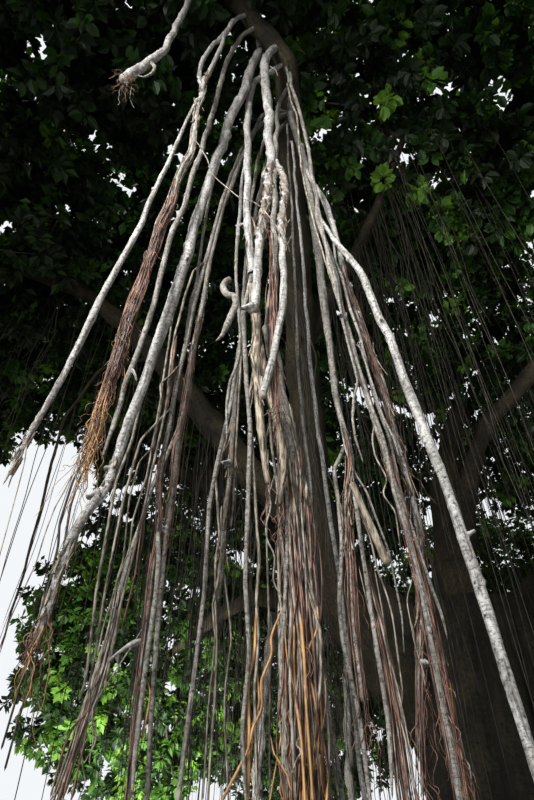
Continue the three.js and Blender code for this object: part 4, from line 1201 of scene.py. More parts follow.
def sprung(course):
    """The course, begun in the old root nearest above its top, and whether there is one."""
    rise = OLD_ROWS[:, 2] - course[0, 2]
    aside = np.linalg.norm(OLD_ROWS[:, :2] - course[0, :2], axis=1)
    above = OLD_ROWS[(rise > SPRING_LOW) & (rise < SPRING_HIGH) & (aside < SPRING_SLOPE * rise)]
    if len(above) == 0 or course[0, 2] - course[1, 2] < FIRST_DROP:
        return course, False
    gaps = np.linalg.norm(above[:, :3] - course[0, :3], axis=1)
    return np.vstack([np.append(above[gaps.argmin(), :3], course[0, 3]), course]), True


def second_course(top_half, foot_half, top_y, foot_y, bends, girth):
    """A row of the table as x, y, z and half width, all drifting evenly from top to foot."""
    bends = np.array(bends)
    legs = np.linalg.norm(np.diff(bends, axis=0), axis=1)
    share = np.append(0, np.cumsum(legs)) / legs.sum()
    depth = top_y + (foot_y - top_y) * share
    half = top_half + (foot_half - top_half) * share
    return np.column_stack([bends[:, 0], depth, bends[:, 1], half * girth])


print("places on old roots to start from:", len(OLD_ROWS))

# %% Drawing the second roots
SECOND_STEP = 0.012
SECOND_KINK = 0.004
SECOND_EASE = 0.09
SECOND_SIDES = 10
SECOND_WEAR = 0.16
SECOND_SEEDS = (700, 750)
SECOND_JOINTS = {"gap": 0.13, "size": 0.14, "length": 0.007, "one_sided": False}
SECOND_KNOTS = {"gap": 0.6, "size": 0.5, "length": 0.014, "one_sided": True}
# Ochre tips are drawn a little fuller than they were read, and barks slimmer by their joints
OCHRE_GIRTH = 1.1
BARK_GIRTH = 0.86
# Thin ones grow from a quarter of their girth to the whole of it over this many points
GROW_IN = 8
springing = rolled = 0
by_material = {}
shape, layers = bark_shape()
stick, stick_layers = bark_shape()
for seed, (material, *places) in enumerate(SECOND_ROOTS):
    course = second_course(*places, OCHRE_GIRTH if material is OCHRE_ROOTLET else BARK_GIRTH)
    if material in (AGED_BARK, GREY_ROOTLET):
        course, found = sprung(course)
        springing += found
    fine, at = finer(course, SECOND_STEP, SECOND_SEEDS[0] + seed, SECOND_KINK, SECOND_EASE)
    if material not in (AGED_BARK, BARE_WOOD):
        fine[:GROW_IN, 3] *= np.linspace(0.25, 1, GROW_IN)
        by_material.setdefault(material, []).append((fine[:, :3], fine[:, 3]))
        continue
    rng = np.random.default_rng(SECOND_SEEDS[1] + seed)
    around, along = columns_and_rows(at, SECOND_SIDES)
    raised = (ripples(rng, around, along, ROOT_WAVES) - SUNK_RELIEF
              + swellings(rng, around, along, **SECOND_JOINTS)
              + swellings(rng, around, along, **SECOND_KNOTS))
    worn = np.full(len(at), SECOND_WEAR)
    if material is BARE_WOOD:
        roll_up(stick, stick_layers, fine, at, raised, SECOND_SIDES, "blunt", worn)
    else:
        roll_up(shape, layers, fine, at, raised, SECOND_SIDES, "taper", worn, seed * 2.7)
    rolled += 1
finish_piece("second_roots", shape, AGED_BARK, [])
finish_piece("dead_stick", stick, BARE_WOOD, [])
print("second roots:", rolled, "rolled of", len(SECOND_ROOTS), "with", springing, "on old roots")

# %% [markdown]
# ## Sheaves of fibrous roots
# The red-brown masses between the pale roots are sheaves: dozens of fine rootlets that run side
# by side down an older root, hug it and let go of it at different heights. Each row of the table
# is one sheaf: what it follows, upper and lower height, how many strands, how far they stand off
# its middle, their half width and their kind. What it follows is a packed root or a course of
# its own. Each strand ends in a short free tail.

# %% What the sheaves follow
# courses of their own: depth (Y), and bends as X and Z
FOLLOWED = {
    "centre_gap": (-5.72, [(-2.57, 4.86), (-2.565, 4.42), (-2.565, 4.00), (-2.57, 3.70),
                           (-2.565, 3.52), (-2.56, 3.36)]),
    "rough_foot": (-5.56, [(-2.03, 2.72), (-2.02, 2.55), (-2.02, 2.38), (-2.02, 2.24),
                           (-2.03, 2.09), (-2.03, 1.96), (-2.02, 1.84), (-2.02, 1.70)]),
    "pale_foot": (-5.44, [(-2.21, 2.72), (-2.19, 2.52), (-2.18, 2.33), (-2.17, 2.16),
                          (-2.17, 2.00), (-2.17, 1.83), (-2.16, 1.70)]),
}
SHEAVES = [
    ("root_twins_left", 5.00, 3.20, 34, 0.016, 0.0030, RUST_ROOTLET),
    ("root_twins_left", 4.20, 3.10, 16, 0.026, 0.0028, RUST_ROOTLET),
    ("root_twins_left", 6.90, 3.60, 14, 0.012, 0.0042, GREY_ROOTLET),
    ("root_twins_left", 3.90, 3.50, 7, 0.020, 0.0027, OCHRE_ROOTLET),
    ("root_twins_left", 3.30, 2.85, 18, 0.018, 0.0027, OCHRE_ROOTLET),
    ("centre_gap", 4.86, 3.36, 34, 0.022, 0.0030, RUST_ROOTLET),
    ("root_bundle", 5.30, 3.40, 14, 0.030, 0.0032, RUST_ROOTLET),
    ("root_rough", 4.70, 3.20, 16, 0.008, 0.0030, RUST_ROOTLET),
    ("root_rough", 3.00, 1.95, 14, 0.010, 0.0030, RUST_ROOTLET),
    ("rough_foot", 2.72, 1.60, 14, 0.020, 0.0034, RUST_ROOTLET),
    ("rough_foot", 2.10, 1.60, 20, 0.020, 0.0034, RUST_ROOTLET),
    ("rough_foot", 2.72, 1.60, 12, 0.020, 0.0040, GREY_ROOTLET),
    ("rough_foot", 2.20, 1.60, 10, 0.024, 0.0028, OCHRE_ROOTLET),
    ("pale_foot", 2.72, 1.60, 16, 0.028, 0.0034, RUST_ROOTLET),
    ("pale_foot", 2.72, 1.60, 14, 0.034, 0.0036, GREY_ROOTLET),
    ("root_broad", 3.40, 2.30, 14, 0.010, 0.0030, RUST_ROOTLET),
    ("root_strands", 3.60, 1.80, 12, 0.010, 0.0030, RUST_ROOTLET),
    ("root_low_left", 2.70, 1.90, 14, 0.012, 0.0040, GREY_ROOTLET),
    ("root_low_left", 2.20, 1.60, 14, 0.016, 0.0034, RUST_ROOTLET),
    ("root_bundle", 3.30, 1.36, 110, 0.060, 0.0046, RUST_ROOTLET),
    ("root_bundle", 3.50, 1.36, 60, 0.055, 0.0062, GREY_ROOTLET),
    ("root_bundle", 2.46, 1.36, 26, 0.074, 0.0046, OCHRE_ROOTLET),
    ("root_slim_left", 3.40, 2.00, 8, 0.006, 0.0028, RUST_ROOTLET),
    ("root_knotty_left", 4.60, 3.00, 12, 0.008, 0.0030, RUST_ROOTLET),
]
print("sheaves:", len(SHEAVES), "with", sum(row[3] for row in SHEAVES), "strands")

# %% Drawing the sheaves
# A strand starts in the sheaf's upper half, and is this share of the sheaf long or longer
TOP_SHARE = 0.5
LEAST_SHARE = 0.35
# Turns round the root for each metre, and at most
TURNS_PER_METRE, MOST_TURNS = 1.1, 2.0
TAIL_LENGTH = (0.05, 0.30)
TAIL_LEAN, TAIL_SWAY, TAIL_STEPS = 0.03, 0.008, 12
# Strands sink a little into the bark they hug
HUG = 0.85
STRAND_GIRTHS = (0.6, 1.35)
SHEAF_SEED = 11


def followed_course(name):
    """The course that a sheaf runs down, with the half width of what is inside it."""
    if name in FOLLOWED:
        y, bends = FOLLOWED[name]
        return np.array([(x, y, z, 0.0) for x, z in bends])
    if name in STOPS:
        # The drawn root stops inside the sheaf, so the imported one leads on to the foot
        return COURSES[name][0] * (1, 1, 1, 0)
    return DRAWN[name][MAIN_STRAND.get(name, 0)] * (1, 1, 1, HUG)


rng = np.random.default_rng(SHEAF_SEED)
for name, upper, lower, count, spread, half, material in SHEAVES:
    course = followed_course(name)
    for _ in range(count):
        top = upper - (upper - lower) * TOP_SHARE * rng.random() ** 1.5
        bottom = max(lower, top - (upper - lower) * rng.uniform(LEAST_SHARE, 1.0))
        turns = min(MOST_TURNS, TURNS_PER_METRE * (top - bottom))
        hugging = beside(rng, course, top, bottom, spread * rng.random() ** 0.5,
                         half * rng.uniform(*STRAND_GIRTHS), turns)
        if hugging is None:
            continue
        spots, thin = hugging
        tail = hanging(rng, spots[-1], rng.uniform(*TAIL_LENGTH), thin[-1],
                       rng.normal(0, TAIL_LEAN, 2), TAIL_SWAY, TAIL_STEPS)
        by_material.setdefault(material, []).append(
            (np.vstack([spots, tail[0][1:]]), np.append(thin, tail[1][1:])))
print("strands so far:", {kind.name: len(courses) for kind, courses in by_material.items()})

# %% [markdown]
# ## Loose rootlets
# Bunches of rootlets break out where a root was cut or bruised, and hang from it like hair. Each
# row names its root, the heights that the bunch springs from, how many, how long and how thick.

# %% Rootlet bunches
# root, upper height, lower height, count, length, half width, spread, material
BUNCHES = [
    ("root_twins_left", 4.90, 3.10, 40, 0.30, 0.0027, 0.02, RUST_ROOTLET),
    ("root_twins_left", 3.30, 2.90, 14, 0.26, 0.0027, 0.02, OCHRE_ROOTLET),
    ("root_cut_left", 6.24, 6.13, 26, 0.20, 0.0024, 0.07, RUST_ROOTLET),
    ("root_cut_left", 6.20, 6.13, 3, 0.42, 0.0028, 0.08, GREY_ROOTLET),
    ("root_thick", 2.50, 2.36, 14, 0.30, 0.0026, 0.03, RUST_ROOTLET),
    ("root_thick", 2.42, 2.36, 5, 0.34, 0.0026, 0.05, OCHRE_ROOTLET),
    ("root_strands", 2.60, 1.75, 12, 0.30, 0.0026, 0.04, RUST_ROOTLET),
    ("root_rough", 2.50, 1.95, 10, 0.30, 0.0026, 0.04, RUST_ROOTLET),
    ("root_broad", 3.20, 2.75, 8, 0.50, 0.0026, 0.04, RUST_ROOTLET),
    ("root_second_peeled", 2.96, 2.88, 8, 0.30, 0.0026, 0.03, RUST_ROOTLET),
    ("root_peeled", 3.02, 2.96, 6, 0.24, 0.0026, 0.03, RUST_ROOTLET),
    ("root_bundle", 2.60, 1.60, 30, 0.30, 0.0032, 0.05, RUST_ROOTLET),
    ("root_bundle", 2.50, 2.00, 14, 0.34, 0.0036, 0.05, OCHRE_ROOTLET),
    ("root_centre", 5.20, 4.60, 8, 0.25, 0.0026, 0.04, RUST_ROOTLET),
]
BUNCH_SWAY, BUNCH_STEPS = 0.010, 18
# A rootlet starts inside its root, at this share of the half width, and its length and its
# girth are drawn between these shares of the row's
BUNCH_START = 0.7
BUNCH_LENGTHS, BUNCH_GIRTHS = (0.4, 1.2), (0.6, 1.3)


def sideways(rng):
    """A seeded level direction."""
    turn = rng.uniform(0, TAU)
    return np.array([math.cos(turn), math.sin(turn), 0.0])


for root, upper, lower, count, length, half, spread, material in BUNCHES:
    for _ in range(count):
        heart, thick = at_height(root, rng.uniform(lower, upper))
        out = sideways(rng)
        by_material.setdefault(material, []).append(
            hanging(rng, heart + thick * BUNCH_START * out, length * rng.uniform(*BUNCH_LENGTHS),
                    half * rng.uniform(*BUNCH_GIRTHS), spread * out, BUNCH_SWAY, BUNCH_STEPS))
for material, courses in by_material.items():
    sides = 3 if material is RUST_ROOTLET else 4
    threads_piece(material.name + "s", courses, sides, material)

# %% [markdown]
# ## Shreds
# Where an old root was bruised its bark has burst, and strips of bark and dry wood stand off it.
# Each strip is a flat tapered band: it lies on the root at one end and lifts away at the other,
# curling a little.

# %% Where bark is shredded
# root, strand, upper height, lower height, count, length
SHREDS = [
    ("root_centre", 0, 5.75, 4.70, 46, 0.16),
    ("root_centre", 1, 5.40, 4.60, 26, 0.14),
    ("root_twins_left", 1, 7.20, 5.90, 36, 0.13),
    ("root_far_left", 0, 3.10, 2.86, 16, 0.07),
    ("root_peeled", 0, 3.95, 3.00, 26, 0.12),
    ("root_second_peeled", 0, 3.50, 2.90, 16, 0.10),
    ("root_thick", 0, 2.75, 2.38, 20, 0.09),
    ("root_thick", 0, 3.12, 2.90, 14, 0.05),
    ("root_rough", 0, 4.40, 2.20, 44, 0.12),
    ("root_broken", 0, 3.60, 2.70, 22, 0.10),
    ("root_broad", 0, 3.30, 2.75, 16, 0.10),
    ("root_knotty_left", 0, 5.00, 2.90, 24, 0.10),
    ("root_low_left", 0, 2.80, 2.20, 12, 0.08),
    ("root_hollow", 0, 5.20, 4.66, 8, 0.07),
]
print("shreds to draw:", sum(row[4] for row in SHREDS))

# %% Drawing the shreds
SHRED_ROWS = 6
SHRED_DEPTH = 0.0016
# A strip's four edges, as shares of its width and its depth
SHRED_EDGES = ((1, 0), (0, 1), (-1, 0), (0, -1))
# Most strips lift away at their lower end, and stand off by this share of their length
LIFTS_BELOW = 0.6
LIFTS = (0.03, 0.25)
SHRED_WIDTHS = (0.003, 0.009)
SHRED_LENGTHS = (0.5, 1.3)
SHRED_SEED = 37


def shred(rng, root, strand, top, reach):
    """The four edges of one strip of bark, row by row, down a root from a height."""
    share = np.linspace(0, 1, SHRED_ROWS)
    heart = np.array([at_height(root, top - reach * s, strand)[0] for s in share])
    thick = at_height(root, top, strand)[1]
    out = sideways(rng)
    across = np.array([-out[1], out[0], 0.0])
    lift = share if rng.random() < LIFTS_BELOW else share[::-1]
    off = thick * 1.02 + 0.002 + reach * rng.uniform(*LIFTS) * lift ** 2
    spots = heart + out * off[:, None] + across * (rng.normal(0, 0.10) * reach * share)[:, None]
    wide = rng.uniform(*SHRED_WIDTHS) * np.sqrt(np.sin(math.pi * (0.06 + 0.9 * share)))
    return np.stack([spots + across * w * wide[:, None] + out * d * SHRED_DEPTH
                     for w, d in SHRED_EDGES], axis=1).reshape(-1, 3)


here = np.arange(4)
band = np.stack([here, (here + 1) % 4, (here + 1) % 4 + 4, here + 4], axis=1)
band = (band[None] + 4 * np.arange(SHRED_ROWS - 1)[:, None, None]).reshape(-1, 4)
rng = np.random.default_rng(SHRED_SEED)
corners = []
for root, strand, upper, lower, count, length in SHREDS:
    for _ in range(count):
        top = rng.uniform(lower + 0.3 * length, upper)
        corners.append(shred(rng, root, strand, top, length * rng.uniform(*SHRED_LENGTHS)))
faces = np.concatenate([band + 4 * SHRED_ROWS * i for i in range(len(corners))])
shred_mesh = mesh_of("shreds", np.concatenate(corners), faces)
as_piece("bark_shreds", shred_mesh, [BARE_WOOD], [])
print("shreds:", len(corners))

# %% [markdown]
# ## The roots of the other boughs
# Under every bough hang young roots, thin and nearly straight. They spring from the underside at
# seeded places, so that the whole tree is hung with them from all sides.

# %% Young roots under the boughs
# None hangs nearer to the camera than this Y, where the old roots' curtain is
NEAREST_YOUNG = -4.8
CLUSTERS_PER_BOUGH = 16
# They end this far above the ground, and are this long at most; a bough too low for them has none
YOUNG_FOOT = 2.2
YOUNG_LONGEST, YOUNG_SHORTEST = 5.5, 0.8
YOUNG_LEAN, YOUNG_SWAY, YOUNG_STEPS = 0.10, 0.04, 16
YOUNG_LENGTHS, YOUNG_GIRTHS = (0.25, 1.0), (0.004, 0.011)
YOUNG_SEED = 31
rng = np.random.default_rng(YOUNG_SEED)
young = []
for name in BOUGH_NAMES:
    course = COURSES[name][0]
    for _ in range(CLUSTERS_PER_BOUGH):
        row = course[rng.integers(len(course) // 5, len(course))]
        longest = min(YOUNG_LONGEST, row[2] - YOUNG_FOOT)
        if longest < YOUNG_SHORTEST or row[1] < NEAREST_YOUNG:
            continue
        for _ in range(rng.integers(1, 5)):
            start = row[:3] + np.array([*rng.normal(0, 0.4 * row[3], 2), -row[3] * 0.5])
            young.append(hanging(rng, start, longest * rng.uniform(*YOUNG_LENGTHS),
                                 rng.uniform(*YOUNG_GIRTHS), rng.normal(0, YOUNG_LEAN, 2),
                                 YOUNG_SWAY, YOUNG_STEPS))
# They take the darker rootlet cork, as painted shade
threads_piece("young_roots", young, 4, SHADE_ROOTLET)

# %% [markdown]
# ## The crown: one rule for all twigs
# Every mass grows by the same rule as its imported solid. A stem runs from the bough's tip to the
# middle of the mass's space. Tips are spread evenly through the space by the golden angle at
# seeded depths, and each, nearest first, is joined to the closest fork grown so far. Here the
# rule runs three times over, for branches, twigs and sprays. A point belongs to the mass in
# whose space it lies deepest, so that no two masses grow into each other, and a twig keeps some
# room from every bough.

# %% The masses' spaces
GOLDEN = math.pi * (3 - math.sqrt(5))
# mass: its bough, the middle of its space, its half sizes, and how much light is painted into its
# leaves
MASSES = {
    "mass_front_left": ("bough_over_roots", (-4.4, -6.9, 10.4), (3.3, 3.3, 2.2), 0.0),
    "mass_front_right": ("bough_arch", (2.7, -7.0, 9.8), (3.3, 3.2, 2.3), 0.9),
    "mass_right": ("bough_right", (7.2, -2.5, 8.3), (3.2, 3.5, 2.7), 0.7),
    "mass_right_back": ("bough_right_back", (6.8, 3.6, 8.6), (3.5, 3.6, 2.9), 0.5),
    "mass_back_right": ("bough_back_right", (3.2, 7.3, 7.8), (3.7, 3.2, 3.85), 0.6),
    "mass_back": ("bough_back", (-1.7, 8.2, 7.5), (3.2, 3.0, 3.5), 0.5),
    "mass_back_left": ("bough_back_left", (-5.3, 6.1, 7.5), (3.3, 3.3, 3.8), 0.8),
    "mass_left_high": ("bough_left_high", (-7.1, 2.1, 11.0), (2.9, 2.8, 1.9), 0.4),
    "mass_left": ("bough_left", (-7.7, -3.2, 9.8), (3.2, 3.4, 2.3), 0.2),
    "mass_inner_front": ("limb_front", (-1.0, -4.1, 10.9), (3.5, 3.2, 2.2), 0.3),
    "mass_inner_left": ("limb_left_inner", (-4.0, -0.3, 10.9), (3.3, 3.6, 2.4), 0.1),
    "mass_inner_back": ("limb_back_inner", (-1.9, 4.0, 10.5), (3.7, 3.2, 2.7), 0.2),
    "mass_inner_right": ("limb_right_inner", (3.8, 0.9, 10.3), (3.4, 3.5, 2.8), 0.4),
    "mass_top": ("bough_leader", (0.7, 0.3, 12.0), (3.2, 3.0, 1.9), 0.5),
}
MASS_NAMES = list(MASSES)
MIDDLES = np.array([MASSES[name][1] for name in MASS_NAMES])
HALVES = np.array([MASSES[name][2] for name in MASS_NAMES])
PARTING = 0.02
# A leaf's tip may reach a little past the point that is tested, so the box is drawn in
EDGE_ROOM = 0.10


def in_own_space(index, spots):
    """Whether points lie in a mass's space, in no neighbour's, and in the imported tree's box."""
    depths = np.linalg.norm((spots[..., None, :] - MIDDLES) / HALVES, axis=-1)
    own = depths[..., index].copy()
    depths[..., index] = np.inf
    boxed = ((spots > CAD_LOW + EDGE_ROOM) & (spots < CAD_HIGH - EDGE_ROOM)).all(-1)
    return (own < 1.0) & (own + PARTING < depths.min(-1)) & boxed


def point_tree(spots):
    """A tree of points that finds the nearest one."""
    tree = KDTree(len(spots))
    for i, spot in enumerate(spots):
        tree.insert(spot, i)
    tree.balance()
    return tree


SPRAY_ROOM = 0.16
LIMB_ROWS = np.concatenate([COURSES[name][0] for name in BOUGH_NAMES])
LIMB_TREE = point_tree(LIMB_ROWS[:, :3])


def clear_of_limbs(spot):
    """Whether a point keeps its room from every bough."""
    _, i, gap = LIMB_TREE.find(spot)
    return gap > LIMB_ROWS[i, 3] + SPRAY_ROOM


print("masses:", len(MASSES), "kept clear of", len(LIMB_ROWS), "places on boughs")

# %% Places for twig tips
# Masses that shade the hanging roots are leafier than the sunny ones
DENSER = {"mass_front_left": 1.4, "mass_inner_front": 1.25, "mass_inner_left": 1.5,
          "mass_left": 1.45, "mass_back_left": 1.15, "mass_back": 1.05, "mass_front_right": 0.92,
          "mass_inner_right": 0.9, "mass_top": 0.85, "mass_left_high": 0.85,
          "mass_back_right": 0.85, "mass_right_back": 0.6, "mass_right": 0.6}
# Places where masses meet thinly get more sprays: middle, spread and how many
THICKER = {"mass_front_left": [((-5.0, -4.5, 10.2), 0.75, 130), ((-4.8, -4.8, 9.3), 0.5, 60)],
           "mass_left": [((-5.4, -3.9, 10.6), 0.7, 90)],
           "mass_inner_left": [((-5.0, -3.1, 11.0), 0.6, 90)]}
TIP_SCATTER = 0.6
# A power lower than 1 puts more tips far out than deep in
OUTWARDS = 0.6


def tip_places(rng, middle, half, count, least, greatest):
    """Places for tips: the golden angle spreads them, seeded depths fill the space."""
    i = np.arange(count)
    height = 1 - (2 * i + 1) / count
    ring = np.sqrt(1 - height ** 2)
    way = np.stack([ring * np.cos(i * GOLDEN), ring * np.sin(i * GOLDEN), height], axis=1)
    way = way + rng.normal(0, TIP_SCATTER / math.sqrt(count), way.shape)
    depth = least + (greatest - least) * rng.random(count) ** OUTWARDS
    return middle + half * way * depth[:, None]


print("sprays are dealt out by shares from", min(DENSER.values()), "to", max(DENSER.values()))

# %% [markdown]
# Low on the left the crown has a gap that the sky shows through. It is cut out as a cone with an
# oval, ragged cross section: no twig ends in it and no leaf starts in it. The raggedness is a
# sum of sines of the place, so that it needs no random draws and looks torn from all sides.

# %% A clearing in the leaves
CLEARING_FOOT = np.array((-2.6, -7.6, 1.5))
CLEARING_WAY = np.array((-0.368, 0.751, 0.549))
CLEARING_SIDE = np.array((0.907, 0.422, 0.0))
CLEARING_SLOPES = (0.085, 0.088)
RAGGEDNESS = 0.28


def in_clearing(spots):
    """Whether points lie in the clearing."""
    away = spots - CLEARING_FOOT
    far = away @ CLEARING_WAY
    side = away @ CLEARING_SIDE
    rise = away[..., 2] - far * CLEARING_WAY[2]
    x, y, z = spots[..., 0], spots[..., 1], spots[..., 2]
    ragged = (np.sin(x * 4.1) * np.sin(y * 3.3 + 1) + np.sin(z * 5.2)
              + 0.8 * np.sin(x * 9.7 + z * 7.9))
    oval = (side / (far * CLEARING_SLOPES[0])) ** 2 + (rise / (far * CLEARING_SLOPES[1])) ** 2
    return oval < 1 + RAGGEDNESS * ragged


print("the clearing is", round(2 * CLEARING_SLOPES[0] * 10, 1), "m wide at 10 m from its foot")

# %% Growing one mass
# tips, least and greatest depth, half width at foot and at tip, in metres
LEVELS = [(14, 0.35, 0.62, 0.045, 0.024), (110, 0.50, 0.86, 0.022, 0.010),
          (1500, 0.36, 0.97, 0.009, 0.004)]
# The stem bends at this share of the way to its mass's middle, and thins by these shares
ELBOW = 0.35
STEM_SUNK = 0.25
STEM_GIRTHS = np.array([1.0, 0.95, 0.8, 0.62, 0.35])
STEM_FORKS = (0.1, 0.35, 0.7, 1.0)
# Later twigs may fork from these places on a twig
TWIG_FORKS = (0.45, 0.8, 1.0)
SHORTEST_TWIG = 0.05
# A twig bows sideways by chance and upwards always, as shares of its length
BOW_SPREAD, BOW_RISE = 0.08, 0.10
# Branches have two bends more, which keep this share of the bow
BOW_KEPT = 0.25
TWIG_GIRTHS = (0.8, 1.2)


def stem_of(bough, middle):
    """A mass's stem, which goes on from its bough's tip, and the forks on it."""
    course = COURSES[bough][0]
    foot, girth = course[-1, :3], course[-1, 3]
    ahead = unit(course[-1, :3] - course[-4, :3])
    elbow = foot + ahead * np.linalg.norm(middle - foot) * ELBOW
    spots = np.array([foot - ahead * STEM_SUNK, foot, elbow, (elbow + middle) / 2, middle])
    return (spots, STEM_GIRTHS * girth), [elbow + (middle - elbow) * share for share in STEM_FORKS]


def grow_mass(index, rng):
    """All twig courses of a mass, and its outermost tips with the way each points."""
    name = MASS_NAMES[index]
    bough, middle, half, _ = MASSES[name]
    middle, half = np.array(middle), np.array(half)
    stem, forks = stem_of(bough, middle)
    courses = [stem]
    for count, least, greatest, thick, thin in LEVELS:
        sprays = count == LEVELS[-1][0]
        if sprays:
            count = int(count * DENSER.get(name, 1.0))
        tips = tip_places(rng, middle, half, count, least, greatest)
        if sprays:
            for spot, spread, more in THICKER.get(name, ()):
                tips = np.vstack([tips, rng.normal(spot, spread, (more, 3))])
        tips = tips[in_own_space(index, tips)]
        tips = tips[np.argsort(np.linalg.norm(tips - middle, axis=1))]
        grown = point_tree(forks)
        fresh, ends = [], []
        for tip in tips:
            start = np.array(grown.find(tip)[0])
            span = np.linalg.norm(tip - start)
            if span < SHORTEST_TWIG or not clear_of_limbs(tip) or in_clearing(tip):
                continue
            bow = rng.normal(0, BOW_SPREAD, 3) * span + np.array([0, 0, BOW_RISE * span])
            bend = (start + tip) / 2 + bow
            spots = np.array([start, bend, tip])
            if not sprays:
                spots = np.insert(spots, (1, 2), ((start + bend) / 2 + bow * BOW_KEPT,
                                                  (bend + tip) / 2 + bow * BOW_KEPT), axis=0)
            girths = np.linspace(thick, thin, len(spots)) * rng.uniform(*TWIG_GIRTHS)
            courses.append((spots, girths))
            ends.append((tip, (tip - start) / span))
            fresh += [start + (tip - start) * share for share in TWIG_FORKS]
        forks = fresh
    return courses, ends


print("twig tips tried for a mass:", [level[0] for level in LEVELS])

# %% [markdown]
# ## Sprays of leaves
# A fig's leaves sit close together at the end of the twig and fan out round it, blades turned up
# to the light. One leaf is a pointed oval folded along its midrib: four triangles on the masses
# that hang over the camera, two on the others. All sprays of a mass are one mesh, worked out as
# arrays, and each spray draws one of the four tints, lighter ones more often on the masses that
# open sky shines through, which paints light and shade into the crown.

# %% The leaves of one mass
LEAVES_PER_SPRAY = 21
NEAR_MASSES = ("mass_front_left", "mass_front_right", "mass_inner_front")
# Corners of a leaf of length 1: along it, across it, and up out of the fold. Then its triangles
# and its length in metres, longer than a real one, so that fewer leaves close the crown
OVAL = (np.array([(0.0, 0.0, 0.0), (0.28, 0.29, 0.07), (0.68, 0.26, 0.07), (1.0, 0.0, -0.05),
                  (0.68, -0.26, 0.07), (0.28, -0.29, 0.07)]),
        np.array([(0, 2, 1), (0, 3, 2), (0, 4, 3), (0, 5, 4)]), 0.165)
KITE = (np.array([(0.0, 0.0, 0.0), (0.45, 0.30, 0.08), (1.0, 0.0, -0.05), (0.45, -0.30, 0.08)]),
        np.array([(0, 2, 1), (0, 3, 2)]), 0.19)
LEAF_LENGTHS = (0.7, 1.15)
# Shares of the four tints, from old to young, in a shaded mass and in a lit one: painted shade and
# light
TINT_IN_SHADE = np.array([0.62, 0.32, 0.05, 0.01])
TINT_IN_LIGHT = np.array([0.16, 0.36, 0.34, 0.14])
# Leaves splay from the twig by this much or up to twice it, droop, and tilt by chance
SPLAY = 0.55
DROOP = 0.28
TILT = 0.6
# They sit this far back from the twig's tip and this far off its middle
LEAST_BACK, MORE_BACK = 0.05, 0.36
OFF_TWIG = 0.03


def leaves_of(index, ends, rng):
    """One mesh with the sprays of leaves at a mass's twig ends, and how many leaves it has."""
    name = MASS_NAMES[index]
    outline, leaf_faces, size = OVAL if name in NEAR_MASSES else KITE
    tips, ways = np.array([tip for tip, _ in ends]), np.array([way for _, way in ends])
    count, each = len(tips), LEAVES_PER_SPRAY
    turn = np.arange(each) * GOLDEN + rng.uniform(0, TAU, (count, 1))
    side = unit(np.cross(ways, np.array([0.13, 0.27, 0.95])))
    other = np.cross(ways, side)
    splay = (SPLAY + SPLAY * rng.random((count, each)))[..., None]
    out = np.cos(turn)[..., None] * side[:, None, :] + np.sin(turn)[..., None] * other[:, None, :]
    along = unit(ways[:, None, :] * (1 - splay) + out * splay + np.array([0, 0, -DROOP]))
    up = unit(np.array([0, 0, 1.0]) + rng.normal(0, TILT, (count, each, 3)))
    across = unit(np.cross(up, along))
    face = np.cross(along, across)
    back = (LEAST_BACK + MORE_BACK * rng.random((count, each)))[..., None]
    root = tips[:, None, :] - ways[:, None, :] * back + out * OFF_TWIG
    length = (size * rng.uniform(*LEAF_LENGTHS, (count, each)))[..., None]
    keep = in_own_space(index, root + along * length) & ~in_clearing(root)
    corners = root[..., None, :] + length[..., None, :] * (
        along[..., None, :] * outline[:, 0, None] + across[..., None, :] * outline[:, 1, None]
        + face[..., None, :] * outline[:, 2, None])
    total = int(keep.sum())
    faces = leaf_faces[None] + len(outline) * np.arange(total)[:, None, None]
    shares = TINT_IN_SHADE + (TINT_IN_LIGHT - TINT_IN_SHADE) * MASSES[name][3]
    tint = rng.choice(len(LEAF_TINTS), size=count, p=shares / shares.sum())
    tints = np.repeat(np.repeat(tint[:, None], each, axis=1)[keep], len(leaf_faces))
    mesh = mesh_of(name + "_leaves", corners[keep].reshape(-1, 3), faces.reshape(-1, 3), tints)
    return mesh, total


print("triangles of a near leaf and of a far one:", len(OVAL[1]), len(KITE[1]))

# %% Twigs and leaves of all masses
# Places that thin roots may hang from: slim boughs, and the bends of stems and branches
SLIM_BOUGH = 0.2
MASS_SEED = 7919
holds = [row[:3] for row in LIMB_ROWS if row[3] < SLIM_BOUGH]
leaf_total = leaf_triangles = 0
for index, name in enumerate(MASS_NAMES):
    rng = np.random.default_rng(MASS_SEED * (index + 1))
    courses, ends = grow_mass(index, rng)
    for spots, _ in courses[:LEVELS[0][0]]:
        holds.extend(spots[1:4])
    leaf_mesh, made = leaves_of(index, ends, rng)
    leaf_total += made
    leaf_triangles += len(leaf_mesh.polygons)
    as_piece(name + "_leaves", leaf_mesh, LEAF_TINTS, [name])
    threads_piece(name + "_twigs", courses, 3, TWIG_BARK)
    print(name, "leaf triangles:", len(leaf_mesh.polygons))
print("leaves in the crown:", leaf_total, "with", leaf_triangles, "triangles")

# %% [markdown]
# ## The curtain
# Behind the thick roots, string-thin roots fall from twigs and limbs all through the crown. They
# hang plumb, since they are too light to have been bent by anything but the wind, and they lie in
# the crown's shade, so their skin is painted a dull dark brown as that shade.

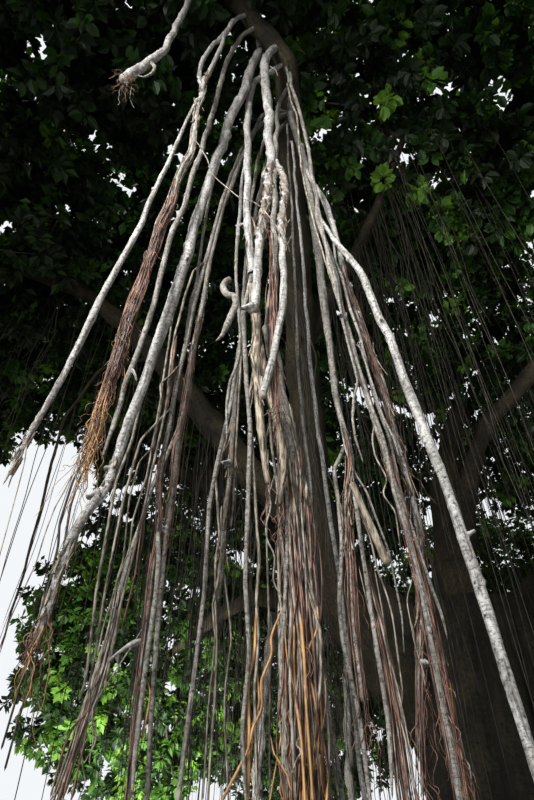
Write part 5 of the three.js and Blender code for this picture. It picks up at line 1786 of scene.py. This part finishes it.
# %% Curtain of thin roots
# How many hang in a space, and the space's X and Y: the whole curtain, and one before the trunk
CURTAINS = [(260, (-7.5, 4.0), (-4.9, 1.5)), (26, (-1.5, 0.6), (-4.2, -0.8))]
CURTAIN_LEAN, CURTAIN_SWAY, CURTAIN_STEPS, CURTAIN_TAPER = 0.08, 0.022, 26, 0.4
CURTAIN_LENGTHS, CURTAIN_GIRTHS = (0.5, 1.0), (0.003, 0.008)
CURTAIN_SEED = 29
rng = np.random.default_rng(CURTAIN_SEED)
holds = np.array(holds)
curtain = []
for count, (left, right), (near, far) in CURTAINS:
    within = holds[(holds[:, 0] > left) & (holds[:, 0] < right)
                   & (holds[:, 1] > near) & (holds[:, 1] < far)]
    for _ in range(count):
        hold = within[rng.integers(0, len(within))]
        length = (hold[2] - LOWEST) * rng.uniform(*CURTAIN_LENGTHS)
        curtain.append(hanging(rng, hold, length, rng.uniform(*CURTAIN_GIRTHS),
                               rng.normal(0, CURTAIN_LEAN, 2), CURTAIN_SWAY, CURTAIN_STEPS,
                               CURTAIN_TAPER))
threads_piece("curtain_roots", curtain, 3, SHADE_ROOTLET)

# %% [markdown]
# ## Floor and light
# A plain pale floor stands in for the ground. The crown keeps most of the sky's light off the
# roots, so a broad soft key stands behind the camera on the left and lights the hanging roots
# from the side, which shows how round they are, and a weak fill opens their shadows. Narrow
# beams leave the leaves behind them dark. Two more fills lift the leaves on the right and those
# far behind, a wide soft sun lights the crown from outside, and the sky is white where it shows.

# %% Floor
FLOOR_SIZE = 60.0
floor_shape = bmesh.new()
bmesh.ops.create_grid(floor_shape, x_segments=2, y_segments=2, size=FLOOR_SIZE / 2)
floor_mesh = bpy.data.meshes.new("floor")
floor_shape.to_mesh(floor_mesh)
floor_shape.free()
floor = bpy.data.objects.new("floor", floor_mesh)
bpy.context.scene.collection.objects.link(floor)
# Matt pale plaster, which gives no reflections
floor_paint, _, floor_shader = new_material("plain_pale_floor", 0.9, 0.2)
floor_shader.inputs["Base Color"].default_value = linear("c9c7c2")
floor_mesh.materials.append(floor_paint)
print("floor:", FLOOR_SIZE, "m square")

# %% Sky
# The camera sees the sky at full strength, but it lights the tree with only this share
SKY_LIGHT = 0.16
world = bpy.data.worlds.new("open_sky")
world.use_nodes = True
sky_tree = world.node_tree
sky = sky_tree.nodes["Background"]
sky.inputs["Color"].default_value = linear("f4f7fa")
seen = node(sky_tree, "ShaderNodeLightPath", out="Is Camera Ray")
strength = node(sky_tree, "ShaderNodeMapRange", {0: seen, 3: SKY_LIGHT, 4: 1.0})
sky_tree.links.new(strength, sky.inputs["Strength"])
bpy.context.scene.world = world
bpy.context.scene.view_settings.view_transform = "Standard"
print("the sky lights the tree at", SKY_LIGHT, "of what is seen")

# %% Lights
ROOT_HEART = (-2.7, -5.6, 5.2)
# name, place, target, width in metres, watts, beam in degrees
LAMPS = [
    ("left_key", (-6.1, -10.6, 6.3), ROOT_HEART, 2.0, 265, 80),
    ("front_fill", (-1.6, -11.5, 2.6), ROOT_HEART, 2.4, 30, 80),
    ("crown_fill", (4.5, -12.5, 4.0), (3.2, -5.5, 9.5), 3.0, 190, 55),
    ("back_fill", (-5.5, 0.5, 0.8), (-4.0, 8.0, 6.0), 3.0, 620, 75),
]
# The sun's strength, how wide it looks and how it is tipped from straight overhead, in degrees
SUN_STRENGTH, SUN_WIDTH, SUN_TIP = 2.2, 12, (38, -16)


def lamp_of(name, kind, energy):
    """A lamp in the scene, and its data."""
    data = bpy.data.lights.new(name, kind)
    data.energy = energy
    lamp = bpy.data.objects.new(name, data)
    bpy.context.scene.collection.objects.link(lamp)
    return lamp, data


for name, place, target, width, watts, beam in LAMPS:
    lamp, data = lamp_of(name, "AREA", watts)
    data.shape = "DISK"
    data.size = width
    data.spread = math.radians(beam)
    lamp.location = place
    lamp.rotation_euler = (Vector(target) - Vector(place)).to_track_quat("-Z", "Y").to_euler()
sun, sun_data = lamp_of("soft_sun", "SUN", SUN_STRENGTH)
sun_data.angle = math.radians(SUN_WIDTH)
sun.rotation_euler = (math.radians(SUN_TIP[0]), math.radians(SUN_TIP[1]), 0)
print("lamps:", len(LAMPS) + 1)
